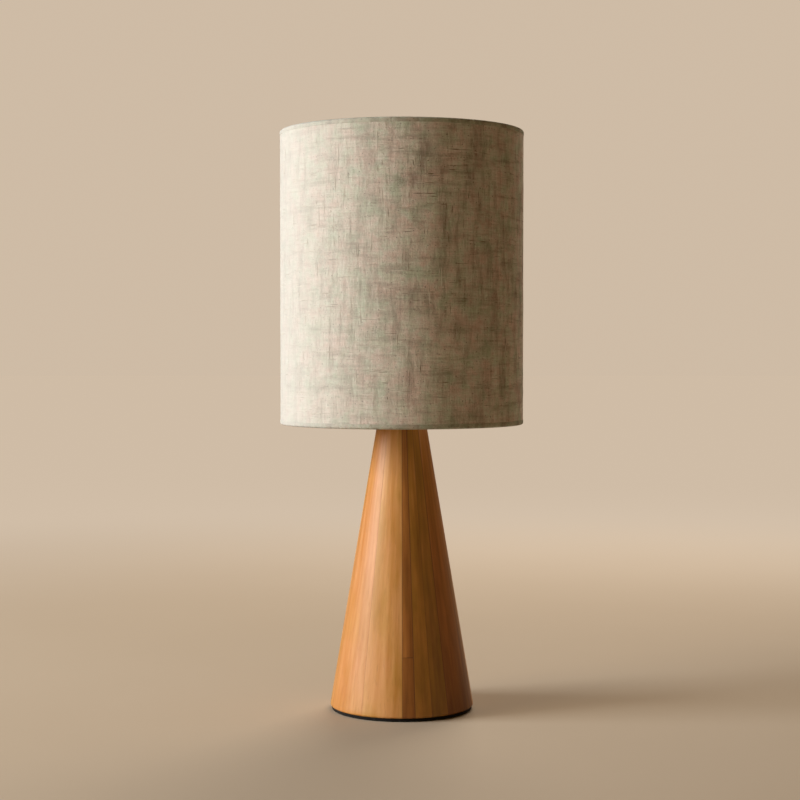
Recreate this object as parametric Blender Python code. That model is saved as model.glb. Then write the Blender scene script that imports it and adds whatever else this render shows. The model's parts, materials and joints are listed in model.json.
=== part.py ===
"""Table lamp: a coopered wooden cone, a switched screw lampholder, a screw-in bulb and a linen drum shade.

Every piece that comes apart on a bench is one named object. The lamp stands on z = 0 with its own
axis on Z and its front towards -Y. Angles called "turn" are measured from the front towards +X.
"""

import math

import bmesh
import bpy
from mathutils import Matrix, Vector

MM = 0.001
FIT_GAP = 0.3 * MM  # between two pieces that touch

# Driving sizes of the whole lamp
SHADE_RADIUS = 125 * MM
SHADE_HEIGHT = 300 * MM
CONE_TOP = 303 * MM
SHADE_BOTTOM = CONE_TOP - 8 * MM
CONE_FOOT_RADIUS = 74.2 * MM
CONE_TOP_RADIUS = 24 * MM
PAD_RADIUS = 72.5 * MM
PAD_THICKNESS = 3 * MM

# Cone: staves of mixed widths, in degrees round the axis, glued edge to edge
STAVE_WIDTHS = (10, 14, 15) + 7 * (41,) + (34,)
STAVE_THICKNESS = 13 * MM
STAVE_ARC_STEP = 7
FIRST_SEAM_TURN = 0.5
FOOT_CHAMFER = 1.5 * MM
CONE_FOOT = PAD_THICKNESS + FIT_GAP
CONE_TAPER = (CONE_FOOT_RADIUS - CONE_TOP_RADIUS) / (CONE_TOP - CONE_FOOT)

# Inside the cone
BOARD_TOP = 21 * MM
BALLAST_RADIUS = 50 * MM
BALLAST_THICKNESS = 14 * MM
BALLAST_SCREWS = 3
BALLAST_SCREW_CIRCLE = 36 * MM
SCREW_RADIUS = 1.8 * MM
SCREW_HEAD_RADIUS = 4 * MM
SCREW_HEAD_HEIGHT = 2.5 * MM
SCREW_TIP = 9 * MM
PLUG_FOOT = CONE_TOP - 28 * MM
NIPPLE_RADIUS = 5 * MM
NIPPLE_BORE = 3.9 * MM
NIPPLE_FOOT = CONE_TOP - 39 * MM
NIPPLE_TOP = CONE_TOP + 12 * MM
NIPPLE_HOLE = NIPPLE_RADIUS + FIT_GAP
WASHER_RADIUS = 10 * MM
WASHER_THICKNESS = 1.5 * MM
NUT_ACROSS_FLATS = 17 * MM
NUT_HEIGHT = 5 * MM

# Lead inlet in the back stave
INLET_HEIGHT = 48 * MM
INLET_HOLE = 6 * MM
INLET_SPOT_FACE = 8.6 * MM
INLET_FLANGE = 8.2 * MM
INLET_FLANGE_THICKNESS = 2 * MM
INLET_BORE = 3.8 * MM
INLET_LENGTH = 15 * MM

# Lampholder, from the cone's top upwards
COLLAR_RADIUS = 22.5 * MM
COLLAR_THICKNESS = 2 * MM
CAP_FOOT = CONE_TOP + COLLAR_THICKNESS + 2 * FIT_GAP
CAP_TOP = CONE_TOP + 29 * MM
CAP_RADIUS = 21.5 * MM
CAP_WALL = 2.5 * MM
CAP_NECK_RADIUS = 9 * MM
CAP_SHOULDER = CONE_TOP + 15 * MM
CORE_FOOT = CONE_TOP + 22 * MM
CORE_RADIUS = CAP_RADIUS - CAP_WALL - FIT_GAP
SWITCH_HEIGHT = CONE_TOP + 18.5 * MM
SWITCH_RADIUS = 3 * MM
SWITCH_LENGTH = 52 * MM
SWITCH_TRAVEL = 5 * MM
GRUB_RADIUS = 1.5 * MM
GRUB_HEIGHT = CONE_TOP + 5.2 * MM
SKIRT_FOOT = CAP_TOP + FIT_GAP
SKIRT_TOP = CAP_TOP + 28 * MM
SKIRT_RADIUS = 19.7 * MM
SKIRT_BORE = 17.2 * MM
SKIRT_FLANGE_RADIUS = 22.5 * MM
SKIRT_FLANGE = 2 * MM
SHELL_BORE = 13.5 * MM
SHELL_WALL = 0.5 * MM
SHELL_TOP = CAP_TOP + 24 * MM

# The stack of rings that holds the shade on the skirt
SEAT_RING_FOOT = SKIRT_FOOT + SKIRT_FLANGE + FIT_GAP
SEAT_RING_HEIGHT = 3 * MM
SEAT_RING_RADIUS = 26 * MM
RING_BORE = SKIRT_RADIUS + 0.4 * MM
FITTER_FOOT = SEAT_RING_FOOT + SEAT_RING_HEIGHT + FIT_GAP
FITTER_THICKNESS = 1.6 * MM
FITTER_BORE = 20.6 * MM
FITTER_RADIUS = 27 * MM
CLAMP_WASHER_FOOT = FITTER_FOOT + FITTER_THICKNESS + FIT_GAP
CLAMP_WASHER_THICKNESS = 1 * MM
CLAMP_WASHER_RADIUS = 26.5 * MM
CLAMP_RING_FOOT = CLAMP_WASHER_FOOT + CLAMP_WASHER_THICKNESS + FIT_GAP
CLAMP_RING_HEIGHT = 6 * MM
CLAMP_RING_RADIUS = 28 * MM

# Bulb, seated in the screw shell
BULB_FOOT = CAP_TOP + 5.6 * MM
BULB_LENGTH = 110 * MM
BULB_RADIUS = 30 * MM
BULB_WALL = 1.5 * MM
BULB_CAP_RADIUS = 13 * MM
BULB_CAP_FOOT = BULB_FOOT + 5.7 * MM
BULB_CAP_TOP = BULB_FOOT + 26.9 * MM
HOUSING_NECK_RADIUS = 14.2 * MM
HOUSING_TOP = BULB_FOOT + 69.4 * MM
BULB_CENTRE = BULB_FOOT + BULB_LENGTH - BULB_RADIUS
LED_BOARD_RADIUS = 22 * MM
LED_BOARD_FOOT = HOUSING_TOP - 10 * MM

# Shade
CLOTH = 0.6 * MM
LINER = 0.4 * MM
WIRE_RADIUS = 1.5 * MM
HEM_DEPTH = 8 * MM
HEM_ROUND = 1.2 * MM
ARM_RADIUS = 2 * MM
ARM_COUNT = 3
SHADE_TOP = SHADE_BOTTOM + SHADE_HEIGHT
LINER_RADIUS = SHADE_RADIUS - CLOTH - FIT_GAP
WIRE_CIRCLE = LINER_RADIUS - LINER - FIT_GAP - WIRE_RADIUS
HEM_BORE = WIRE_CIRCLE - WIRE_RADIUS - FIT_GAP - CLOTH

# Facets round a full circle
FINE = 64
MEDIUM = 36
COARSE = 20
FEW = 10


def clear_scene():
    """Remove every object that the scene starts with."""
    for obj in list(bpy.data.objects):
        bpy.data.objects.remove(obj)


def material(name, colour, roughness, metallic=0.0):
    """A plain Principled material."""
    made = bpy.data.materials.new(name)
    made.use_nodes = True
    shader = made.node_tree.nodes["Principled BSDF"]
    shader.inputs["Base Color"].default_value = (*colour, 1.0)
    shader.inputs["Roughness"].default_value = roughness
    shader.inputs["Metallic"].default_value = metallic
    return made


def make_materials():
    """The lamp's finishes by name."""
    return {
        "oiled_wood": material("oiled_wood", (0.56, 0.29, 0.11), 0.45),
        "plywood": material("plywood", (0.62, 0.45, 0.27), 0.7),
        "cast_iron": material("cast_iron", (0.06, 0.06, 0.06), 0.6, 0.8),
        "zinc_steel": material("zinc_steel", (0.62, 0.62, 0.6), 0.35, 1.0),
        "brass": material("brass", (0.72, 0.5, 0.2), 0.3, 1.0),
        "black_felt": material("black_felt", (0.01, 0.01, 0.01), 0.95),
        "black_moulding": material("black_moulding", (0.015, 0.015, 0.016), 0.35),
        "ceramic": material("ceramic", (0.82, 0.8, 0.75), 0.3),
        "white_enamel": material("white_enamel", (0.8, 0.8, 0.78), 0.4),
        "linen": material("linen", (0.52, 0.46, 0.37), 0.9),
        "liner_film": material("liner_film", (0.85, 0.84, 0.8), 0.35),
        "opal_plastic": material("opal_plastic", (0.88, 0.88, 0.86), 0.4),
        "white_plastic": material("white_plastic", (0.8, 0.8, 0.8), 0.35),
        "nickel": material("nickel", (0.66, 0.63, 0.58), 0.25, 1.0),
        "circuit_board": material("circuit_board", (0.05, 0.22, 0.1), 0.5),
    }


def add(name, bm, finish, parent=None, smooth=True):
    """Turn a bmesh into a named object whose faces point out."""
    bmesh.ops.remove_doubles(bm, verts=bm.verts, dist=1e-6)
    bmesh.ops.recalc_face_normals(bm, faces=bm.faces)
    if bm.calc_volume(signed=True) < 0:
        bmesh.ops.reverse_faces(bm, faces=bm.faces)
    mesh = bpy.data.meshes.new(name)
    bm.to_mesh(mesh)
    bm.free()
    if smooth:
        mesh.shade_smooth()
        mesh.set_sharp_from_angle(angle=math.radians(35))
    mesh.materials.append(finish)
    obj = bpy.data.objects.new(name, mesh)
    bpy.context.scene.collection.objects.link(obj)
    obj.parent = parent
    return obj


def empty(name, location=(0, 0, 0), parent=None):
    """An empty that carries a moving group, on the group's joint axis."""
    made = bpy.data.objects.new(name, None)
    made.location = location
    made.parent = parent
    bpy.context.scene.collection.objects.link(made)
    return made


def spun(outline, segments):
    """A closed (radius, z) outline turned all the way round Z."""
    bm = bmesh.new()
    corners = [bm.verts.new((r, 0, z)) for r, z in outline]
    edges = [bm.edges.new((a, b)) for a, b in zip(corners, corners[1:] + corners[:1]) if a.co.x + b.co.x > 0]
    bmesh.ops.spin(
        bm,
        geom=corners + edges,
        axis=(0, 0, 1),
        cent=(0, 0, 0),
        angle=2 * math.pi,
        steps=segments,
        use_merge=True,
    )
    return bm


def arc(centre, radius, start, end, steps):
    """Points along an arc in the (radius, z) plane, angles in degrees."""
    found = []
    for i in range(steps + 1):
        angle = math.radians(start + (end - start) * i / steps)
        found.append((centre[0] + radius * math.cos(angle), centre[1] + radius * math.sin(angle)))
    return found


def tube(inner, outer, foot, top):
    """The (radius, z) outline of a plain tube or flat ring."""
    return [(inner, foot), (outer, foot), (outer, top), (inner, top)]


def prism(points, foot, top):
    """An upright solid of a flat outline given as (x, y) points."""
    bm = bmesh.new()
    face = bm.faces.new([bm.verts.new((x, y, foot)) for x, y in points])
    raised = bmesh.ops.extrude_face_region(bm, geom=[face])["geom"]
    up = [v for v in raised if isinstance(v, bmesh.types.BMVert)]
    bmesh.ops.translate(bm, vec=(0, 0, top - foot), verts=up)
    return bm


def lay_along(obj, direction, at):
    """Place an object drawn along +Z so that it runs along a direction from a point."""
    obj.rotation_mode = "QUATERNION"
    obj.rotation_quaternion = Vector((0, 0, 1)).rotation_difference(Vector(direction))
    obj.location = at


def cut(obj, cutter):
    """Subtract a helper object, which stays hidden in renders."""
    cutter.hide_render = True
    cutter.display_type = "WIRE"
    step = obj.modifiers.new("cut_" + cutter.name, "BOOLEAN")
    step.operation = "DIFFERENCE"
    step.object = cutter


def drill(name, obj, radius, start, direction, length, segments=COARSE):
    """Cut a round hole from a start point along a direction."""
    cutter = add(name, spun([(0, 0), (radius, 0), (radius, length), (0, length)], segments), None)
    lay_along(cutter, direction, start)
    cut(obj, cutter)


def at_turn(turn, radius, height=0.0):
    """The point at a turn from the front, a radius and a height."""
    return Vector((radius * math.sin(turn), -radius * math.cos(turn), height))


def cone_radius(height):
    """The cone's outer radius at a height."""
    return CONE_FOOT_RADIUS - CONE_TAPER * (height - CONE_FOOT)


def hollow_radius(height):
    """How far the staves' flat inner faces lie from the axis at a height."""
    return cone_radius(height) - STAVE_THICKNESS


def stave_ring(middle, half, height, chamfer):
    """One stave's outline at a height: its outer arc, then the two corners of its flat inner face."""
    outer = cone_radius(height) - chamfer
    inner = hollow_radius(height) / math.cos(half)
    steps = math.ceil(math.degrees(2 * half) / STAVE_ARC_STEP)
    reach = half - FIT_GAP / 2 / outer
    points = [at_turn(middle - reach + 2 * reach * i / steps, outer, height) for i in range(steps + 1)]
    for side in (1, -1):
        points.append(at_turn(middle + side * (half - FIT_GAP / 2 / inner), inner, height))
    return points


def make_stave(name, start, width, finish, parent):
    """One tapered stave with a rounded foot, from a turn and a width in radians."""
    levels = [
        (CONE_FOOT, FOOT_CHAMFER),
        (CONE_FOOT + FOOT_CHAMFER, 0.0),
        (CONE_TOP - FOOT_CHAMFER / 2, 0.0),
        (CONE_TOP, FOOT_CHAMFER / 2),
    ]
    bm = bmesh.new()
    rings = [[bm.verts.new(p) for p in stave_ring(start + width / 2, width / 2, z, c)] for z, c in levels]
    bm.faces.new(rings[0])
    bm.faces.new(rings[-1])
    for low, high in zip(rings, rings[1:]):
        for i in range(len(low)):
            j = (i + 1) % len(low)
            bm.faces.new((low[i], low[j], high[j], high[i]))
    return add(name, bm, finish, parent)


def make_staves(finish, parent):
    """The staves of the cone, one object each. The one at the back has the lead's hole."""
    start = math.radians(FIRST_SEAM_TURN)
    back = None
    for k, degrees in enumerate(STAVE_WIDTHS):
        width = math.radians(degrees)
        stave = make_stave(f"stave_{k + 1:02d}", start, width, finish, parent)
        if start < math.pi < start + width:
            back = stave
        start += width
    hole_start = (0, hollow_radius(INLET_HEIGHT) - INLET_SPOT_FACE, INLET_HEIGHT)
    drill("inlet_hole", back, INLET_HOLE, hole_start, (0, 1, 0), 4 * STAVE_THICKNESS)
    face = (0, spot_face_depth(), INLET_HEIGHT)
    drill("inlet_spot_face", back, INLET_SPOT_FACE, face, (0, 1, 0), STAVE_THICKNESS)


def spot_face_depth():
    """How far from the axis the flat seat of the inlet bush lies."""
    lowest = cone_radius(INLET_HEIGHT + INLET_SPOT_FACE)
    return math.sqrt(lowest**2 - INLET_SPOT_FACE**2) - FIT_GAP


def make_inlet_bush(finish, parent):
    """The flanged bush that the mains lead would pass through."""
    body = INLET_HOLE - FIT_GAP
    outline = [
        (INLET_BORE, 0),
        (body, 0),
        (body, INLET_LENGTH),
        (INLET_FLANGE, INLET_LENGTH),
        (INLET_FLANGE, INLET_LENGTH + INLET_FLANGE_THICKNESS / 2),
        (INLET_FLANGE - INLET_FLANGE_THICKNESS / 2, INLET_LENGTH + INLET_FLANGE_THICKNESS),
        (INLET_BORE, INLET_LENGTH + INLET_FLANGE_THICKNESS),
    ]
    bush = add("inlet_bush", spun(outline, COARSE), finish, parent)
    lay_along(bush, (0, 1, 0), (0, spot_face_depth() + FIT_GAP - INLET_LENGTH, INLET_HEIGHT))


def make_foot(finishes, parent):
    """The felt pad, the plywood board and the screwed-down ballast."""
    edge = 0.6 * MM
    pad = [
        (0, 0),
        (PAD_RADIUS - edge, 0),
        (PAD_RADIUS, edge),
        (PAD_RADIUS, PAD_THICKNESS),
        (0, PAD_THICKNESS),
    ]
    add("foot_pad", spun(pad, FINE), finishes["black_felt"], parent)

    board_outline = [
        (0, CONE_FOOT),
        (hollow_radius(CONE_FOOT) - FIT_GAP, CONE_FOOT),
        (hollow_radius(BOARD_TOP) - FIT_GAP, BOARD_TOP),
        (0, BOARD_TOP),
    ]
    board = add("base_board", spun(board_outline, MEDIUM), finishes["plywood"], parent)

    foot = BOARD_TOP + FIT_GAP
    top = foot + BALLAST_THICKNESS
    bevel = 1 * MM
    disc = [
        (0, foot),
        (BALLAST_RADIUS - bevel, foot),
        (BALLAST_RADIUS, foot + bevel),
        (BALLAST_RADIUS, top - bevel),
        (BALLAST_RADIUS - bevel, top),
        (0, top),
    ]
    ballast = add("ballast_disc", spun(disc, MEDIUM), finishes["cast_iron"], parent)

    head = top + FIT_GAP
    hole = SCREW_RADIUS + FIT_GAP
    screw = [
        (0, SCREW_TIP),
        (SCREW_RADIUS, SCREW_TIP + 2 * SCREW_RADIUS),
        (SCREW_RADIUS, head),
        (SCREW_HEAD_RADIUS, head),
        (SCREW_HEAD_RADIUS, head + SCREW_HEAD_HEIGHT / 2),
        (SCREW_HEAD_RADIUS / 2, head + SCREW_HEAD_HEIGHT),
        (0, head + SCREW_HEAD_HEIGHT),
    ]
    for k in range(BALLAST_SCREWS):
        spot = at_turn(2 * math.pi * k / BALLAST_SCREWS, BALLAST_SCREW_CIRCLE)
        made = add(f"ballast_screw_{k + 1}", spun(screw, FEW), finishes["zinc_steel"], parent)
        made.location = spot
        start = spot + Vector((0, 0, SCREW_TIP - FIT_GAP))
        drill(f"board_hole_{k + 1}", board, hole, start, (0, 0, 1), BOARD_TOP, FEW)
        drill(f"ballast_hole_{k + 1}", ballast, hole, start, (0, 0, 1), 2 * BOARD_TOP, FEW)


def make_head_fixing(finishes, parent):
    """What holds the lampholder on the cone: plug, threaded nipple, washer, nut and collar."""
    plug_top = CONE_TOP - FIT_GAP
    plug = [
        (NIPPLE_HOLE, PLUG_FOOT),
        (hollow_radius(PLUG_FOOT) - FIT_GAP, PLUG_FOOT),
        (hollow_radius(plug_top) - FIT_GAP, plug_top),
        (NIPPLE_HOLE, plug_top),
    ]
    add("top_plug", spun(plug, COARSE), finishes["plywood"], parent)
    nipple = tube(NIPPLE_BORE, NIPPLE_RADIUS, NIPPLE_FOOT, NIPPLE_TOP)
    add("threaded_nipple", spun(nipple, COARSE), finishes["zinc_steel"], parent)
    washer_foot = PLUG_FOOT - FIT_GAP - WASHER_THICKNESS
    washer = tube(NIPPLE_HOLE, WASHER_RADIUS, washer_foot, washer_foot + WASHER_THICKNESS)
    add("nipple_washer", spun(washer, COARSE), finishes["zinc_steel"], parent)

    nut_top = washer_foot - FIT_GAP
    reach = NUT_ACROSS_FLATS / 2 / math.cos(math.pi / 6)
    hexagon = [(reach * math.cos(math.pi * k / 3), reach * math.sin(math.pi * k / 3)) for k in range(6)]
    nut = add("nipple_nut", prism(hexagon, nut_top - NUT_HEIGHT, nut_top), finishes["zinc_steel"], parent)
    drill("nut_bore", nut, NIPPLE_HOLE, (0, 0, NIPPLE_FOOT), (0, 0, 1), 2 * NUT_HEIGHT + 10 * MM)

    foot = CONE_TOP + FIT_GAP
    top = foot + COLLAR_THICKNESS
    edge = 0.8 * MM
    collar = [
        (NIPPLE_HOLE, foot),
        (COLLAR_RADIUS, foot),
        (COLLAR_RADIUS, top - edge),
        (COLLAR_RADIUS - edge, top),
        (NIPPLE_HOLE, top),
    ]
    add("top_collar", spun(collar, MEDIUM), finishes["brass"], parent)


def make_holder_cap(finishes, parent):
    """The lampholder's lower shell with its neck, and the grub screw that locks it on the nipple."""
    shoulder = CAP_SHOULDER - CAP_FOOT - 4 * MM
    round_start = (CAP_RADIUS - shoulder, CAP_SHOULDER)
    inside = CAP_RADIUS - CAP_WALL
    outline = [
        (NIPPLE_HOLE, CAP_FOOT),
        (CAP_NECK_RADIUS, CAP_FOOT),
        (CAP_NECK_RADIUS, CAP_FOOT + 4 * MM),
        *arc(round_start, shoulder, -90, 0, 4),
        (CAP_RADIUS, CAP_TOP),
        (inside, CAP_TOP),
        (inside, CAP_SHOULDER),
        (inside - shoulder / 2, CAP_SHOULDER - shoulder / 2 + CAP_WALL),
        (NIPPLE_HOLE, CAP_FOOT + 8 * MM),
    ]
    cap = add("holder_cap", spun(outline, MEDIUM), finishes["black_moulding"], parent)
    start = (-2 * CAP_RADIUS, 0, SWITCH_HEIGHT)
    drill("switch_hole", cap, SWITCH_RADIUS + FIT_GAP, start, (1, 0, 0), 4 * CAP_RADIUS)
    grub_start = NIPPLE_HOLE
    drill("grub_hole", cap, GRUB_RADIUS + FIT_GAP, (0, 0, GRUB_HEIGHT), (0, 1, 0), 2 * CAP_NECK_RADIUS, FEW)
    grub_length = CAP_NECK_RADIUS - grub_start
    rod = [(0, 0), (GRUB_RADIUS, 0), (GRUB_RADIUS, grub_length), (0, grub_length)]
    grub = add("holder_grub_screw", spun(rod, FEW), finishes["brass"], parent)
    lay_along(grub, (0, 1, 0), (0, grub_start, GRUB_HEIGHT))


def make_holder_core(finishes, parent):
    """The ceramic core with its terminal screws, contacts and screw shell."""
    core_top = CAP_TOP
    core = add(
        "holder_core",
        spun([(0, CORE_FOOT), (CORE_RADIUS, CORE_FOOT), (CORE_RADIUS, core_top), (0, core_top)], MEDIUM),
        finishes["ceramic"],
        parent,
    )
    shank, head, head_height, depth = 1.4 * MM, 2.6 * MM, 2 * MM, 4 * MM
    head_top = CORE_FOOT - FIT_GAP
    terminal = [
        (0, head_top - head_height),
        (head, head_top - head_height),
        (head, head_top),
        (shank, head_top),
        (shank, head_top + depth),
        (0, head_top + depth),
    ]
    for name, side in (("terminal_screw_live", 1), ("terminal_screw_neutral", -1)):
        spot = Vector((0, side * 11 * MM, 0))
        made = add(name, spun(terminal, FEW), finishes["brass"], parent)
        made.location = spot
        start = spot + Vector((0, 0, CORE_FOOT - MM))
        drill("hole_" + name, core, shank + FIT_GAP, start, (0, 0, 1), depth + 1.5 * MM, FEW)

    shell_foot = CAP_TOP + FIT_GAP
    lip = 1.5 * MM
    shell = [
        (SHELL_BORE - lip, shell_foot),
        (SHELL_BORE + SHELL_WALL, shell_foot),
        (SHELL_BORE + SHELL_WALL, SHELL_TOP),
        (SHELL_BORE, SHELL_TOP),
        (SHELL_BORE, shell_foot + SHELL_WALL),
        (SHELL_BORE - lip, shell_foot + SHELL_WALL),
    ]
    add("screw_shell", spun(shell, MEDIUM), finishes["brass"], parent)

    leaf, half_width, low = 0.5 * MM, 2.5 * MM, shell_foot
    tip = BULB_FOOT - FIT_GAP
    side_view = [(-8 * MM, low), (-4.5 * MM, low), (1.5 * MM, tip - leaf), (4 * MM, tip - 2 * leaf)]
    outline = side_view + [(x, z + leaf) for x, z in reversed(side_view)]
    strip = prism(outline, -half_width, half_width)
    contact = add("centre_contact", strip, finishes["brass"], parent, False)
    contact.rotation_euler = (math.pi / 2, 0, 0)

    blade_x, drop = 9 * MM, CORE_FOOT - FIT_GAP
    blade = [
        (blade_x, drop),
        (blade_x + 5 * MM, drop),
        (blade_x + 5 * MM, drop - leaf),
        (blade_x + leaf, drop - leaf),
        (blade_x + leaf, drop - 7 * MM),
        (blade_x, drop - 7 * MM),
    ]
    offset = SWITCH_RADIUS + 2 * MM
    made = add("switch_blade", prism(blade, offset, offset + 3 * MM), finishes["brass"], parent, False)
    made.rotation_euler = (math.pi / 2, 0, 0)


def make_holder_skirt(finishes, parent):
    """The threaded outer sleeve of the lampholder and the lower ring that the shade sits on."""
    lip_top = SKIRT_TOP
    lip = 2 * MM
    outline = [
        (SKIRT_BORE, SKIRT_FOOT),
        (SKIRT_FLANGE_RADIUS, SKIRT_FOOT),
        (SKIRT_FLANGE_RADIUS, SKIRT_FOOT + SKIRT_FLANGE),
        (SKIRT_RADIUS, SKIRT_FOOT + SKIRT_FLANGE),
        (SKIRT_RADIUS, lip_top - MM),
        (SKIRT_RADIUS - MM, lip_top),
        (SKIRT_BORE - lip, lip_top),
        (SKIRT_BORE - lip, lip_top - lip),
        (SKIRT_BORE, lip_top - lip),
    ]
    add("holder_skirt", spun(outline, MEDIUM), finishes["black_moulding"], parent)
    edge = 0.6 * MM
    top = SEAT_RING_FOOT + SEAT_RING_HEIGHT
    ring = [
        (RING_BORE, SEAT_RING_FOOT),
        (SEAT_RING_RADIUS - edge, SEAT_RING_FOOT),
        (SEAT_RING_RADIUS, SEAT_RING_FOOT + edge),
        (SEAT_RING_RADIUS, top),
        (RING_BORE, top),
    ]
    add("seat_ring", spun(ring, MEDIUM), finishes["black_moulding"], parent)


def make_switch_bar(finishes, parent):
    """The push-through bar, pressed home from its left end."""
    button, grip = SWITCH_RADIUS, 0.8 * MM
    half = SWITCH_LENGTH / 2
    outline = [
        (0, -half),
        (button - grip, -half),
        (button, -half + grip),
        (button, half - grip),
        (button - grip, half),
        (0, half),
    ]
    bar = add("switch_bar", spun(outline, COARSE), finishes["black_moulding"], parent)
    lay_along(bar, (1, 0, 0), (SWITCH_TRAVEL / 2, 0, 0))


def make_clamp(finishes, washer_carrier, ring_carrier):
    """The washer and the screwed ring that clamp the shade's fitter."""
    washer_top = CLAMP_WASHER_FOOT + CLAMP_WASHER_THICKNESS
    washer = tube(RING_BORE, CLAMP_WASHER_RADIUS, CLAMP_WASHER_FOOT, washer_top)
    add("clamp_washer", spun(washer, MEDIUM), finishes["zinc_steel"], washer_carrier)
    edge = 1 * MM
    top = CLAMP_RING_FOOT + CLAMP_RING_HEIGHT
    ring = [
        (RING_BORE, CLAMP_RING_FOOT),
        (CLAMP_RING_RADIUS, CLAMP_RING_FOOT),
        (CLAMP_RING_RADIUS, top - 2 * edge),
        (CLAMP_RING_RADIUS - edge, top),
        (RING_BORE, top),
    ]
    add("clamp_ring", spun(ring, MEDIUM), finishes["black_moulding"], ring_carrier)


def housing_radius(height):
    """The bulb housing's outer radius: an even S-curve from its neck to the globe."""
    share = (height - BULB_CAP_TOP) / (HOUSING_TOP - BULB_CAP_TOP)
    rim = math.sqrt(BULB_RADIUS**2 - (BULB_CENTRE - HOUSING_TOP) ** 2)
    return HOUSING_NECK_RADIUS + (rim - HOUSING_NECK_RADIUS) * share * share * (3 - 2 * share) ** 0.6


def make_bulb(finishes, lift_carrier, turn_carrier):
    """The screw-in bulb: its contact and insulator, then all that turns with the cap."""
    button = 4.2 * MM
    contact_top = BULB_FOOT + 1.4 * MM
    contact = [
        (0, BULB_FOOT),
        (button - MM, BULB_FOOT),
        (button, BULB_FOOT + MM),
        (button, contact_top),
        (0, contact_top),
    ]
    add("bulb_contact", spun(contact, COARSE), finishes["zinc_steel"], lift_carrier)
    low, high = contact_top + FIT_GAP, BULB_CAP_FOOT - FIT_GAP
    insulator = [(0, low), (button + MM, low), (BULB_CAP_RADIUS - 1.6 * MM, high), (0, high)]
    add("bulb_insulator", spun(insulator, COARSE), finishes["black_moulding"], lift_carrier)

    cap_wall = 0.5 * MM
    cap = [
        (BULB_CAP_RADIUS - 1.2 * MM - cap_wall, BULB_CAP_FOOT),
        (BULB_CAP_RADIUS - 1.2 * MM, BULB_CAP_FOOT),
        (BULB_CAP_RADIUS, BULB_CAP_FOOT + 2 * MM),
        (BULB_CAP_RADIUS, BULB_CAP_TOP),
        (BULB_CAP_RADIUS - cap_wall, BULB_CAP_TOP),
        (BULB_CAP_RADIUS - cap_wall, BULB_CAP_FOOT + 2 * MM),
    ]
    add("bulb_cap", spun(cap, MEDIUM), finishes["nickel"], turn_carrier)

    foot = BULB_CAP_TOP + FIT_GAP
    heights = [foot + (HOUSING_TOP - foot) * i / 5 for i in range(6)]
    outside = [(housing_radius(z), z) for z in heights]
    inside = [(r - BULB_WALL, z) for r, z in reversed(outside)]
    add("bulb_housing", spun(outside + inside, MEDIUM), finishes["white_plastic"], turn_carrier)

    rim = HOUSING_TOP + FIT_GAP
    start = math.degrees(math.asin((rim - BULB_CENTRE) / BULB_RADIUS))
    outside = arc((0, BULB_CENTRE), BULB_RADIUS, start, 90, 7)
    inside = arc((0, BULB_CENTRE), BULB_RADIUS - BULB_WALL, 90, start, 7)
    outside[-1] = (0, BULB_CENTRE + BULB_RADIUS)
    inside[0] = (0, BULB_CENTRE + BULB_RADIUS - BULB_WALL)
    add("bulb_diffuser", spun(outside + inside, MEDIUM), finishes["opal_plastic"], turn_carrier)

    top = LED_BOARD_FOOT + 1.6 * MM
    board = [(0, LED_BOARD_FOOT), (LED_BOARD_RADIUS, LED_BOARD_FOOT), (LED_BOARD_RADIUS, top), (0, top)]
    add("bulb_led_board", spun(board, MEDIUM), finishes["white_enamel"], turn_carrier)
    wide, thick = 9.5 * MM, 0.8 * MM
    corners = [(-wide, -thick), (wide, -thick), (wide, thick), (-wide, thick)]
    driver = prism(corners, BULB_CAP_FOOT + 4 * MM, LED_BOARD_FOOT - 3 * MM)
    add("bulb_driver_board", driver, finishes["circuit_board"], turn_carrier, False)


def hem(edge, inward):
    """The linen's section round one edge wire: outer wall, rolled edge and turned-in hem."""
    def level(depth):
        return edge + inward * depth

    outside, inside = SHADE_RADIUS, HEM_BORE
    wall = SHADE_RADIUS - CLOTH
    pocket = HEM_BORE + CLOTH
    return {
        "outer": [(outside, level(HEM_ROUND)), (outside - HEM_ROUND, level(0))],
        "turned": [(inside + HEM_ROUND, level(0)), (inside, level(HEM_ROUND)), (inside, level(HEM_DEPTH))],
        "pocket": [(pocket, level(HEM_DEPTH)), (pocket, level(CLOTH)), (wall, level(CLOTH))],
    }


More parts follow.
